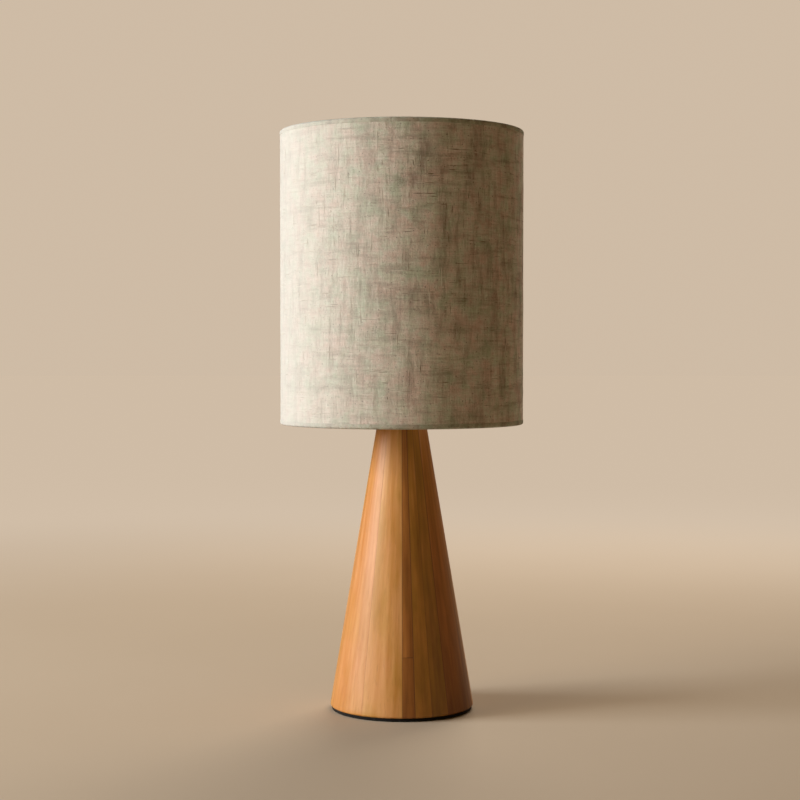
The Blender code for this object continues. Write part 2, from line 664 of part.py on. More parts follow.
def make_shade(finishes, parent):
    """The drum: linen with its turned hems, stiff liner, two edge wires, three arms and the fitter."""
    low, high = hem(SHADE_BOTTOM, 1), hem(SHADE_TOP, -1)
    outline = (
        low["pocket"][::-1]
        + low["turned"][::-1]
        + low["outer"][::-1]
        + high["outer"]
        + high["turned"]
        + high["pocket"]
    )
    add("shade_linen", spun(outline, FINE), finishes["linen"], parent)

    inset = CLOTH + FIT_GAP
    liner = tube(LINER_RADIUS - LINER, LINER_RADIUS, SHADE_BOTTOM + inset, SHADE_TOP - inset)
    add("shade_liner", spun(liner, FINE), finishes["liner_film"], parent)

    depth = inset + WIRE_RADIUS
    for name, z in (("shade_top_wire", SHADE_TOP - depth), ("shade_bottom_wire", SHADE_BOTTOM + depth)):
        section = arc((WIRE_CIRCLE, z), WIRE_RADIUS, 0, 300, 5)
        add(name, spun(section, FINE), finishes["white_enamel"], parent)

    fitter_top = FITTER_FOOT + FITTER_THICKNESS
    fitter = tube(FITTER_BORE, FITTER_RADIUS, FITTER_FOOT, fitter_top)
    add("fitter_ring", spun(fitter, MEDIUM), finishes["white_enamel"], parent)

    start = HEM_BORE - FIT_GAP - 0.1 * MM
    low_z, high_z = SHADE_BOTTOM + depth, FITTER_FOOT + FITTER_THICKNESS / 2
    route = [
        (start, low_z),
        (start - 8 * MM, low_z),
        (start - 14 * MM, low_z + 2.5 * MM),
        (FITTER_RADIUS + 14 * MM, high_z - 4 * MM),
        (FITTER_RADIUS + 8 * MM, high_z),
        (FITTER_RADIUS + FIT_GAP, high_z),
    ]
    for k in range(ARM_COUNT):
        turn = 2 * math.pi * k / ARM_COUNT
        line = bpy.data.curves.new(f"spider_arm_{k + 1}", "CURVE")
        line.dimensions = "3D"
        line.bevel_depth = ARM_RADIUS
        line.bevel_resolution = 2
        line.use_fill_caps = True
        spline = line.splines.new("POLY")
        spline.points.add(len(route) - 1)
        for point, (r, z) in zip(spline.points, route):
            point.co = (*at_turn(turn, r, z), 1.0)
        line.materials.append(finishes["white_enamel"])
        arm = bpy.data.objects.new(line.name, line)
        arm.parent = parent
        bpy.context.scene.collection.objects.link(arm)


def main():
    """Build the lamp, group by group."""
    clear_scene()
    finishes = make_materials()
    lamp = empty("lamp_frame")
    make_staves(finishes["oiled_wood"], lamp)
    make_inlet_bush(finishes["black_moulding"], lamp)
    make_foot(finishes, lamp)
    make_head_fixing(finishes, lamp)
    make_holder_cap(finishes, lamp)
    make_holder_core(finishes, lamp)
    make_holder_skirt(finishes, lamp)
    make_switch_bar(finishes, empty("switch_axis", (0, 0, SWITCH_HEIGHT), lamp))
    washer_carrier = empty("clamp_lift_axis", parent=lamp)
    make_clamp(finishes, washer_carrier, empty("clamp_turn_axis", parent=washer_carrier))
    lift_carrier = empty("bulb_lift_axis", parent=lamp)
    make_bulb(finishes, lift_carrier, empty("bulb_turn_axis", parent=lift_carrier))
    make_shade(finishes, empty("shade_axis", parent=lamp))


main()
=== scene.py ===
"""A table lamp with a coopered wooden cone and a linen drum shade, dressed around its fixed frame.

Each sub-assembly is a class that makes its pieces and gives them their finishes.
Metres throughout, +Z up, the lamp's own axis on Z and its front towards -Y.
"""

import json  # noqa: E402
import logging  # noqa: E402
import math  # noqa: E402
from collections.abc import Callable, Sequence  # noqa: E402
from dataclasses import dataclass, field  # noqa: E402
from enum import Enum  # noqa: E402

import bmesh  # noqa: E402
import bpy  # noqa: E402
from mathutils import Matrix, Vector  # noqa: E402


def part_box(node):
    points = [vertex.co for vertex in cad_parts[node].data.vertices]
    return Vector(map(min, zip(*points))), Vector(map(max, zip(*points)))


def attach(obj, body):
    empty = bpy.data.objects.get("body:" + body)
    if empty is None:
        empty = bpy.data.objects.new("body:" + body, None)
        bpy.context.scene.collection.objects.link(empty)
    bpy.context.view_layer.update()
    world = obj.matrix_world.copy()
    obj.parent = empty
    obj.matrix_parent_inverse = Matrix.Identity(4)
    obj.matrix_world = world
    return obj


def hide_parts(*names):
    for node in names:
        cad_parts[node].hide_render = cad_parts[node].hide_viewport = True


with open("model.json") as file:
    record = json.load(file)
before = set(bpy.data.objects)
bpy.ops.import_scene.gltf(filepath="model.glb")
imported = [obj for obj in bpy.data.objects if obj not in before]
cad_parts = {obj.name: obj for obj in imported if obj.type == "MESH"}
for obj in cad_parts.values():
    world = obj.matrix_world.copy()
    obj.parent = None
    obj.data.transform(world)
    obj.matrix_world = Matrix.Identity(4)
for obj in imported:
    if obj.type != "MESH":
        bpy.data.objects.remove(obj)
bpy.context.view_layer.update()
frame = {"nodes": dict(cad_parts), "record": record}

MM = 0.001
TURN = 2 * math.pi
# The step between neighbouring yarns in the tone noise, and what sets weft apart from warp.
YARN_STEP = 0.83
WEFT_SEED = 9.0
# How far a slub may lie askew, in radians.
SLUB_SKEW = 0.05
# The drill's length, and the turns that lay a lathed piece's axis along X or Y.
BORE_LENGTH = 80 * MM
ALONG_X = Matrix.Rotation(math.pi / 2, 4, "Y")
ALONG_Y = Matrix.Rotation(-math.pi / 2, 4, "X")
log = logging.getLogger("table_lamp")

Outline = list[tuple[float, float]]
Colour = tuple[float, float, float]
Socket = bpy.types.NodeSocket
Tree = bpy.types.NodeTree
Piece = bpy.types.Object


class Body(Enum):
    """The frame's moving groups."""

    BASE = "base"
    SWITCH = "switch"
    SHADE = "shade"
    CLAMP_LIFT = "clamp_lift"
    CLAMP_TURN = "clamp_turn"
    BULB_LIFT = "bulb_lift"
    BULB_TURN = "bulb_turn"


# ---------------------------------------------------------------- node trees


class Graph:
    """A node tree while it is being wired, for shaders and for geometry alike."""

    def __init__(self, tree: Tree) -> None:
        """Keep the tree.

        Args:
            tree: the tree that new nodes go into.
        """
        self.tree = tree

    def node(self, kind: str, wires: dict | None = None, **settings: object) -> bpy.types.Node:
        """Add one node.

        Args:
            kind: the node's type name.
            wires: input index or name to a socket to link, or a value to set.
            **settings: properties of the node.

        Returns:
            The new node.
        """
        made = self.tree.nodes.new(kind)
        made.location = (180 * (len(self.tree.nodes) % 12), -220 * (len(self.tree.nodes) // 12))
        for key, value in settings.items():
            setattr(made, key, value)
        for key, value in (wires or {}).items():
            if isinstance(value, Socket):
                self.tree.links.new(value, made.inputs[key])
            else:
                made.inputs[key].default_value = value
        return made

    def math(self, operation: str, *values: object) -> Socket:
        """Add a Math node and return its result."""
        wires = dict(enumerate(values))
        return self.node("ShaderNodeMath", wires, operation=operation).outputs[0]

    def vector_math(self, operation: str, *values: object) -> Socket:
        """Add a Vector Math node and return its vector."""
        wires = dict(enumerate(values))
        return self.node("ShaderNodeVectorMath", wires, operation=operation).outputs[0]

    def split(self, vector: Socket) -> list[Socket]:
        """Split a vector into its three numbers."""
        return list(self.node("ShaderNodeSeparateXYZ", {0: vector}).outputs)

    def join(self, x: object, y: object, z: object) -> Socket:
        """Join three numbers into a vector."""
        return self.node("ShaderNodeCombineXYZ", {0: x, 1: y, 2: z}).outputs[0]

    def noise(self, vector: object, scale: float, detail: float = 2.0, rough: float = 0.5) -> Socket:
        """Add a Noise Texture and return its value."""
        wires = {"Vector": vector, "Scale": scale, "Detail": detail, "Roughness": rough}
        return self.node("ShaderNodeTexNoise", wires).outputs["Fac"]

    def smooth(self, value: object, low: float, high: float) -> Socket:
        """Ease a value from 0 at low to 1 at high."""
        wires = {"Value": value, "From Min": low, "From Max": high}
        return self.node("ShaderNodeMapRange", wires, interpolation_type="SMOOTHSTEP").outputs[0]

    def spread(self, value: object, low: float, high: float) -> Socket:
        """Map a value from 0..1 onto low..high."""
        wires = {"Value": value, "To Min": low, "To Max": high}
        return self.node("ShaderNodeMapRange", wires).outputs[0]

    def mix(self, share: object, first: object, second: object, blend: str = "MIX") -> Socket:
        """Mix two colours."""
        made = self.node("ShaderNodeMix", data_type="RGBA", blend_type=blend)
        for index, value in ((0, share), (6, first), (7, second)):
            if isinstance(value, Socket):
                self.tree.links.new(value, made.inputs[index])
            else:
                made.inputs[index].default_value = (*value, 1.0) if index else value
        return made.outputs[2]

    def ramp(self, value: object, stops: Sequence[tuple[float, Colour]]) -> Socket:
        """Turn a value into a colour.

        Args:
            value: the socket to read.
            stops: (position, colour) pairs in rising order.

        Returns:
            The colour.
        """
        made = self.node("ShaderNodeValToRGB", {0: value})
        ramp = made.color_ramp
        while len(ramp.elements) < len(stops):
            ramp.elements.new(0.5)
        for element, (place, colour) in zip(ramp.elements, stops):
            element.position = place
            element.color = (*colour, 1.0)
        return made.outputs[0]

    def close(self, out: bpy.types.Node, found: dict[str, Socket]) -> Tree:
        """Link a tree's results to its output node.

        Args:
            out: the tree's output node.
            found: output name to the socket that feeds it.

        Returns:
            The tree.
        """
        for name, socket in found.items():
            self.tree.links.new(socket, out.inputs[name])
        return self.tree

    def bump(self, height: object, distance: float, strength: float = 1.0, normal: object = None) -> Socket:
        """Add a Bump node and return its normal."""
        wires = {"Height": height, "Distance": distance, "Strength": strength}
        if normal is not None:
            wires["Normal"] = normal
        return self.node("ShaderNodeBump", wires).outputs[0]


def new_group(
    name: str, kind: str, inputs: Sequence[tuple], outputs: Sequence[tuple]
) -> tuple[Graph, object, object]:
    """Start a node group with named sockets.

    Args:
        name: the group's name.
        kind: "ShaderNodeTree" or "GeometryNodeTree".
        inputs: (name, socket type, default or None) for each input.
        outputs: (name, socket type) for each output.

    Returns:
        The graph, its input node and its output node.
    """
    tree = bpy.data.node_groups.new(name, kind)
    for label, socket, default in inputs:
        made = tree.interface.new_socket(name=label, in_out="INPUT", socket_type=socket)
        if default is not None:
            made.default_value = default
    for label, socket in outputs:
        tree.interface.new_socket(name=label, in_out="OUTPUT", socket_type=socket)
    graph = Graph(tree)
    return graph, graph.node("NodeGroupInput"), graph.node("NodeGroupOutput")


FLOAT, VECTOR, COLOUR = "NodeSocketFloat", "NodeSocketVector", "NodeSocketColor"


# ---------------------------------------------------------------- shared shader effects


def weave_group() -> Tree:
    """Plain weave of uneven yarns on a flat map in metres.

    Returns:
        A group that gives the cloth's Height, the yarn's own Tone and the Slub mask.
    """
    graph, given, out = new_group(
        "plain_weave",
        "ShaderNodeTree",
        [
            ("Vector", VECTOR, None),
            ("Pitch", FLOAT, 0.8 * MM),
            ("Wander", FLOAT, 0.6),
            ("Streak", FLOAT, 40.0),
        ],
        [("Height", FLOAT), ("Tone", FLOAT), ("Slub", FLOAT)],
    )
    vector, pitch, wander, streak = given.outputs[:4]
    u, v, _ = graph.split(vector)
    drift_u = graph.math("MULTIPLY", graph.math("SUBTRACT", graph.noise(vector, 45.0), 0.5), wander)
    shifted = graph.vector_math("ADD", vector, (3.1, 1.7, 0.0))
    drift_v = graph.math("MULTIPLY", graph.math("SUBTRACT", graph.noise(shifted, 45.0), 0.5), wander)
    across = graph.math("ADD", graph.math("DIVIDE", u, pitch), drift_u)
    along = graph.math("ADD", graph.math("DIVIDE", v, pitch), drift_v)
    warp, weft = graph.math("FLOOR", across), graph.math("FLOOR", along)
    warp_round = graph.math("SINE", graph.math("MULTIPLY", graph.math("FRACT", across), math.pi))
    weft_round = graph.math("SINE", graph.math("MULTIPLY", graph.math("FRACT", along), math.pi))

    def rise(place: object, yarn: object, sign: float) -> Socket:
        """How high a yarn rides as it passes over and under."""
        phase = graph.math("MULTIPLY", graph.math("ADD", graph.math("SUBTRACT", place, 0.5), yarn), math.pi)
        return graph.math("MULTIPLY_ADD", graph.math("COSINE", phase), 0.35 * sign, 0.65)

    warp_step, weft_step = (graph.math("MULTIPLY", yarn, YARN_STEP) for yarn in (warp, weft))
    warp_place = graph.join(warp_step, graph.math("MULTIPLY", v, streak), 0.0)
    weft_place = graph.join(graph.math("MULTIPLY", u, streak), weft_step, WEFT_SEED)
    warp_tone = graph.noise(warp_place, 1.0, 3.0, 0.6)
    weft_tone = graph.noise(weft_place, 1.0, 3.0, 0.6)
    warp_high = graph.math("MULTIPLY", warp_round, rise(along, warp, 1.0))
    weft_high = graph.math("MULTIPLY", weft_round, rise(across, weft, -1.0))
    warp_slub = graph.smooth(warp_tone, 0.6, 0.72)
    weft_slub = graph.smooth(weft_tone, 0.6, 0.72)
    warp_high = graph.math("MULTIPLY_ADD", warp_slub, 0.35, warp_high)
    weft_high = graph.math("MULTIPLY_ADD", weft_slub, 0.35, weft_high)
    on_top = graph.math("GREATER_THAN", warp_high, weft_high)
    tone = graph.node("ShaderNodeMix", {0: on_top, 2: weft_tone, 3: warp_tone}, data_type="FLOAT").outputs[0]
    slub = graph.node("ShaderNodeMix", {0: on_top, 2: weft_slub, 3: warp_slub}, data_type="FLOAT").outputs[0]
    height = graph.math("MAXIMUM", warp_high, weft_high)
    return graph.close(out, {"Height": height, "Tone": tone, "Slub": slub})


def timber_group() -> Tree:
    """Straight-grained timber in a board's own space: x across, y along, z into the board.

    Returns:
        A group that gives the broad Figure, the growth Rings, the Pores and the Shimmer, blotches that are
        partly real tone and partly painted sheen.
    """
    graph, given, out = new_group(
        "timber_grain",
        "ShaderNodeTree",
        [("Vector", VECTOR, None), ("Ring Spacing", FLOAT, 7 * MM), ("Stretch", FLOAT, 0.045)],
        [("Figure", FLOAT), ("Rings", FLOAT), ("Pores", FLOAT), ("Tone And Sheen", FLOAT)],
    )
    vector, spacing, stretch = given.outputs[:3]
    x, y, z = graph.split(vector)
    drawn = graph.join(x, graph.math("MULTIPLY", y, stretch), z)
    wobble = graph.math("MULTIPLY", graph.math("SUBTRACT", graph.noise(drawn, 24.0, 2.0), 0.5), 9 * MM)
    bowed = graph.math("ADD", graph.math("ADD", x, graph.math("MULTIPLY", z, 0.6)), wobble)
    phase = graph.math("MULTIPLY", graph.math("DIVIDE", bowed, spacing), TURN)
    rings = graph.math("MULTIPLY_ADD", graph.math("SINE", phase), 0.5, 0.5)
    long_drawn = graph.join(x, graph.math("MULTIPLY", y, graph.math("MULTIPLY", stretch, 1.3)), z)
    figure = graph.noise(long_drawn, 190.0, 3.0, 0.6)
    dashes = graph.noise(drawn, 1500.0, 2.0, 0.6)
    pores = graph.smooth(dashes, 0.57, 0.7)
    # Long soft blotches: partly real tone, partly painted sheen standing in for the wood's moving reflections.
    tone_and_sheen_blotch = graph.noise(graph.join(x, graph.math("MULTIPLY", y, 0.32), z), 42.0, 3.0, 0.6)
    rings = graph.math("POWER", rings, 1.6)
    return graph.close(out, {"Figure": figure, "Rings": rings, "Pores": pores, "Tone And Sheen": tone_and_sheen_blotch})


def surface_group() -> Tree:
    """Fine unevenness, handling marks and settled dust of a hard surface.

    Returns:
        A group that gives a fine Height, a broad Smudge mask and a Dust mask for upward faces.
    """
    graph, given, out = new_group(
        "fine_surface",
        "ShaderNodeTree",
        [("Vector", VECTOR, None), ("Grain", FLOAT, 900.0), ("Smudge Size", FLOAT, 60.0)],
        [("Height", FLOAT), ("Smudge", FLOAT), ("Dust", FLOAT)],
    )
    vector, grain, size = given.outputs[:3]
    height = graph.noise(vector, grain)
    broad = graph.noise(vector, size, 4.0, 0.65)
    up = graph.split(graph.node("ShaderNodeNewGeometry").outputs["Normal"])[2]
    settled = graph.math("MULTIPLY", graph.smooth(up, 0.55, 1.0), graph.smooth(broad, 0.35, 0.7))
    return graph.close(out, {"Height": height, "Smudge": graph.smooth(broad, 0.4, 0.68), "Dust": settled})


@dataclass(frozen=True)
class Effects:
    """The shared shader groups, each built once."""

    weave: Tree
    timber: Tree
    surface: Tree


def start_material(name: str) -> tuple[bpy.types.Material, Graph, bpy.types.Node]:
    """Start a material.

    Args:
        name: the material's name.

    Returns:
        The material, its graph and its Principled node.
    """
    made = bpy.data.materials.new(name)
    made.use_nodes = True
    graph = Graph(made.node_tree)
    return made, graph, made.node_tree.nodes["Principled BSDF"]


def set_values(shader: bpy.types.Node, values: dict[str, float]) -> None:
    """Set constant values on a shader's own sockets."""
    for name, value in values.items():
        shader.inputs[name].default_value = value


# ---------------------------------------------------------------- finishes


@dataclass(frozen=True)
class LinenFinish:
    """Natural slub linen: cream and oatmeal yarns with darker flecks, painted shade between the yarns and
    painted glare on the key-lit side.
    """

    name: str
    pitch: float = 0.8 * MM
    broad_pitch: float = 1.9 * MM
    bias: float = 0.0
    shade: Colour = (1.0, 1.0, 1.0)
    relief: float = 0.22 * MM
    streaks: tuple[tuple[tuple[float, float, float], float, float], ...] = (
        ((1.0, 0.16, 1.0), 2.7, 120.0),
        ((0.16, 1.0, 1.0), 5.3, 120.0),
        ((1.0, 0.3, 1.0), 8.1, 52.0),
    )
    brighter: float = 1.19
    drum: float = 125 * MM
    # Painted glare: the side that faces the key light, given as a turn from the lap, is washed toward this flat
    # pale grey.
    painted_glare_turn: float = 1.45
    glare_and_backdrop_fade: Colour = (0.655, 0.66, 0.65)

    def build(self, effects: Effects) -> bpy.types.Material:
        """Make the material, which reads the piece's own map in metres."""
        made, graph, shader = start_material(self.name)
        flat = graph.node("ShaderNodeUVMap", uv_map="cloth").outputs[0]
        wires = {"Vector": flat, "Rotation": (0.0, 0.0, self.bias)}
        turned = graph.node("ShaderNodeMapping", wires).outputs[0]
        fine = graph.node("ShaderNodeGroup", node_tree=effects.weave)
        coarse = graph.node("ShaderNodeGroup", node_tree=effects.weave)
        layers = ((fine, self.pitch, 1.2, 55.0), (coarse, self.broad_pitch, 3.0, 24.0))
        for group, pitch, wander, streak in layers:
            graph.tree.links.new(turned, group.inputs["Vector"])
            set_values(group, {"Pitch": pitch, "Wander": wander, "Streak": streak})
        yarn = graph.ramp(
            fine.outputs["Tone"],
            [
                (0.22, (0.42, 0.36, 0.29)),
                (0.34, (0.60, 0.56, 0.49)),
                (0.5, (0.70, 0.675, 0.62)),
                (0.68, (0.77, 0.755, 0.71)),
            ],
        )
        broad = graph.ramp(
            coarse.outputs["Tone"],
            [
                (0.27, (0.50, 0.43, 0.36)),
                (0.37, (0.80, 0.77, 0.73)),
                (0.47, (0.95, 0.945, 0.93)),
                (0.6, (1.0, 1.0, 1.0)),
            ],
        )
        colour = graph.mix(0.75, yarn, broad, "MULTIPLY")
        patches = graph.ramp(
            graph.noise(flat, 36.0, 6.0, 0.7),
            [
                (0.36, (0.76, 0.83, 0.74)),
                (0.46, (0.94, 0.965, 0.92)),
                (0.54, (1.0, 0.925, 0.90)),
                (0.64, (1.0, 1.0, 0.98)),
            ],
        )
        colour = graph.mix(1.0, colour, patches, "MULTIPLY")
        cast = graph.ramp(
            graph.noise(graph.vector_math("ADD", flat, (1.9, 4.4, 0.0)), 62.0, 3.0, 0.6),
            [
                (0.36, (0.86, 0.97, 0.87)),
                (0.47, (0.97, 1.0, 0.96)),
                (0.53, (1.0, 0.97, 0.95)),
                (0.64, (1.0, 0.88, 0.86)),
            ],
        )
        colour = graph.mix(1.0, colour, cast, "MULTIPLY")
        streaks = []
        for stretch, seed, size in self.streaks:
            drawn = graph.vector_math("ADD", graph.vector_math("MULTIPLY", flat, stretch), (seed, seed, 0.0))
            streaks.append(graph.noise(drawn, size, 5.0, 0.72))
            band = graph.smooth(streaks[-1], 0.3, 0.62)
            stops = [(0.0, (0.57, 0.51, 0.45)), (0.5, (0.90, 0.88, 0.86)), (1.0, (1.0, 1.0, 1.0))]
            colour = graph.mix(0.85, colour, graph.ramp(band, stops), "MULTIPLY")
        flecks = graph.smooth(graph.noise(turned, 420.0, 1.0), 0.69, 0.74)
        colour = graph.mix(graph.math("MULTIPLY", flecks, 0.75), colour, (0.10, 0.06, 0.03))
        # Painted shade: the weave's low places between the yarns are darkened.
        painted_thread_shade = graph.spread(fine.outputs["Height"], 0.8, 1.04)
        colour = graph.mix(1.0, colour, graph.join(painted_thread_shade, painted_thread_shade, painted_thread_shade), "MULTIPLY")
        colour = graph.mix(1.0, colour, tuple(c * self.brighter for c in self.shade), "MULTIPLY")
        # Painted glare: the key-lit side of the drum is washed toward a flat pale grey with little weave
        # showing, and it moves with the drum when it is turned.
        turn = graph.math("DIVIDE", graph.split(flat)[0], self.drum)
        round_drum = graph.math("SUBTRACT", turn, self.painted_glare_turn)
        painted_glare = graph.math("MULTIPLY_ADD", graph.math("COSINE", round_drum), 0.5, 0.5)
        colour = graph.mix(graph.math("MULTIPLY", graph.math("POWER", painted_glare, 1.7), 0.84), colour, self.glare_and_backdrop_fade)
        graph.tree.links.new(colour, shader.inputs["Base Color"])
        height = graph.math("MULTIPLY_ADD", coarse.outputs["Slub"], 0.9, fine.outputs["Height"])
        for streak in streaks:
            height = graph.math("MULTIPLY_ADD", streak, 4.0, height)
        height = graph.math("MULTIPLY_ADD", graph.noise(flat, 430.0, 3.0, 0.7), 2.4, height)
        graph.tree.links.new(graph.bump(height, self.relief), shader.inputs["Normal"])
        set_values(
            shader,
            {"Roughness": 0.92, "Sheen Weight": 0.25, "Sheen Roughness": 0.5, "Specular IOR Level": 0.2},
        )
        return made


@dataclass(frozen=True)
class YarnFinish:
    """A thick place in a yarn, from cream to bark brown."""

    name: str

    def build(self, effects: Effects) -> bpy.types.Material:
        """Make the material."""
        made, graph, shader = start_material(self.name)
        place = graph.node("ShaderNodeTexCoord").outputs["Object"]
        tone = graph.noise(place, 95.0, 1.0)
        colour = graph.ramp(
            tone,
            [
                (0.36, (0.15, 0.10, 0.06)),
                (0.45, (0.38, 0.31, 0.23)),
                (0.54, (0.60, 0.55, 0.46)),
                (0.66, (0.76, 0.73, 0.65)),
            ],
        )
        fibre = graph.noise(place, 2600.0, 2.0)
        colour = graph.mix(graph.spread(fibre, 0.0, 0.35), colour, (0.3, 0.25, 0.18))
        # Painted glare: slubs towards -X, on the key-lit side, are washed toward a pale grey.
        painted_glare = graph.smooth(graph.split(place)[0], 0.03, -0.12)
        colour = graph.mix(graph.math("MULTIPLY", painted_glare, 0.75), colour, (0.66, 0.645, 0.61))
        graph.tree.links.new(colour, shader.inputs["Base Color"])
        graph.tree.links.new(graph.bump(fibre, 0.06 * MM), shader.inputs["Normal"])
        set_values(shader, {"Roughness": 0.95, "Sheen Weight": 0.2})
        return made


@dataclass(frozen=True)
class TimberFinish:
    """Oiled satin hardwood; each board has its own tone."""

    name: str
    dark: Colour = (0.20, 0.070, 0.012)
    middle: Colour = (0.50, 0.215, 0.045)
    light: Colour = (0.73, 0.41, 0.17)
    roughness: tuple[float, float] = (0.40, 0.54)
    coat: float = 0.08

    def build(self, effects: Effects) -> bpy.types.Material:
        """Make the material, which reads the boards' own space and tone."""
        made, graph, shader = start_material(self.name)
        board = graph.node("ShaderNodeAttribute", attribute_name="board").outputs["Vector"]
        tone = graph.node("ShaderNodeAttribute", attribute_name="tone").outputs["Fac"]
        hue = graph.node("ShaderNodeAttribute", attribute_name="hue").outputs["Fac"]
        seam = graph.node("ShaderNodeAttribute", attribute_name="seam").outputs["Fac"]
        line = graph.node("ShaderNodeAttribute", attribute_name="line").outputs["Fac"]
        grain = graph.node("ShaderNodeGroup", {"Vector": board}, node_tree=effects.timber)
        figure, rings, pores, tone_and_sheen_blotch = grain.outputs[:4]
        grain_tone = graph.math("MULTIPLY_ADD", rings, 0.05, graph.math("MULTIPLY", figure, 0.5))
        # The blotches add tone and, with the board's hue, a pink or green cast: partly real colour, partly
        # painted sheen.
        grain_tone = graph.math("MULTIPLY_ADD", tone_and_sheen_blotch, 0.3, grain_tone)
        blend = graph.math("ADD", grain_tone, graph.spread(tone, -0.36, 0.4))
        colour = graph.ramp(blend, [(0.12, self.dark), (0.46, self.middle), (0.82, self.light)])
        lean = graph.math("MULTIPLY_ADD", hue, 0.3, tone_and_sheen_blotch)
        casts = [(0.25, (0.84, 0.95, 0.62)), (0.5, (1.0, 1.0, 0.94)), (0.75, (1.0, 0.91, 0.98))]
        colour = graph.mix(1.0, colour, graph.ramp(lean, casts), "MULTIPLY")
        colour = graph.mix(graph.math("MULTIPLY", pores, 0.22), colour, self.dark)
        edge = graph.math("MULTIPLY", graph.smooth(seam, 0.8 * MM, 0.2 * MM), graph.spread(line, 0.0, 0.7))
        colour = graph.mix(edge, colour, (0.12, 0.045, 0.014))
        graph.tree.links.new(colour, shader.inputs["Base Color"])
        graph.tree.links.new(graph.spread(figure, *self.roughness), shader.inputs["Roughness"])
        height = graph.math("SUBTRACT", graph.math("MULTIPLY", figure, 0.5), pores)
        graph.tree.links.new(graph.bump(height, 0.035 * MM), shader.inputs["Normal"])
        set_values(shader, {"Coat Weight": self.coat, "Coat Roughness": 0.35, "Specular IOR Level": 0.4})
        return made


@dataclass(frozen=True)
class HardFinish:
    """A metal, plastic, enamel, glaze or board with fine grain, handling marks and dust."""

    name: str
    colour: Colour
    roughness: tuple[float, float]
    metallic: float = 0.0
    grain: float = 900.0
    relief: float = 0.02 * MM
    worn: Colour | None = None
    dust: float = 0.15
    extra: tuple[tuple[str, float], ...] = ()

    def build(self, effects: Effects) -> bpy.types.Material:
        """Make the material."""
        made, graph, shader = start_material(self.name)
        place = graph.node("ShaderNodeTexCoord").outputs["Object"]
        wires = {"Vector": place, "Grain": self.grain}
        fine = graph.node("ShaderNodeGroup", wires, node_tree=effects.surface)
        height, smudge, dust = fine.outputs[:3]
        worn = self.worn or tuple(min(1.0, c * 1.12 + 0.01) for c in self.colour)
        colour = graph.mix(smudge, self.colour, worn)
        colour = graph.mix(graph.math("MULTIPLY", dust, self.dust), colour, (0.45, 0.42, 0.38))
        graph.tree.links.new(colour, shader.inputs["Base Color"])
        low, high = self.roughness
        mixed = graph.math("MULTIPLY_ADD", graph.math("ADD", smudge, height), (high - low) / 2, low)
        graph.tree.links.new(mixed, shader.inputs["Roughness"])
        graph.tree.links.new(graph.bump(height, self.relief), shader.inputs["Normal"])
        set_values(shader, {"Metallic": self.metallic} | dict(self.extra))
        return made


@dataclass(frozen=True)
class FeltFinish:
    """Pressed black felt."""

    name: str

    def build(self, effects: Effects) -> bpy.types.Material:
        """Make the material."""
        made, graph, shader = start_material(self.name)
        place = graph.node("ShaderNodeTexCoord").outputs["Object"]
        fibre = graph.noise(place, 1400.0, 4.0, 0.7)
        clumps = graph.noise(place, 160.0, 3.0, 0.6)
        colour = graph.mix(graph.smooth(fibre, 0.45, 0.75), (0.006, 0.006, 0.006), (0.035, 0.033, 0.031))
        colour = graph.mix(graph.smooth(clumps, 0.6, 0.75), colour, (0.05, 0.047, 0.044))
        graph.tree.links.new(colour, shader.inputs["Base Color"])
        both = graph.math("MULTIPLY_ADD", clumps, 0.7, fibre)
        graph.tree.links.new(graph.bump(both, 0.25 * MM), shader.inputs["Normal"])
        set_values(shader, {"Roughness": 1.0, "Sheen Weight": 0.1, "Specular IOR Level": 0.1})
        return made


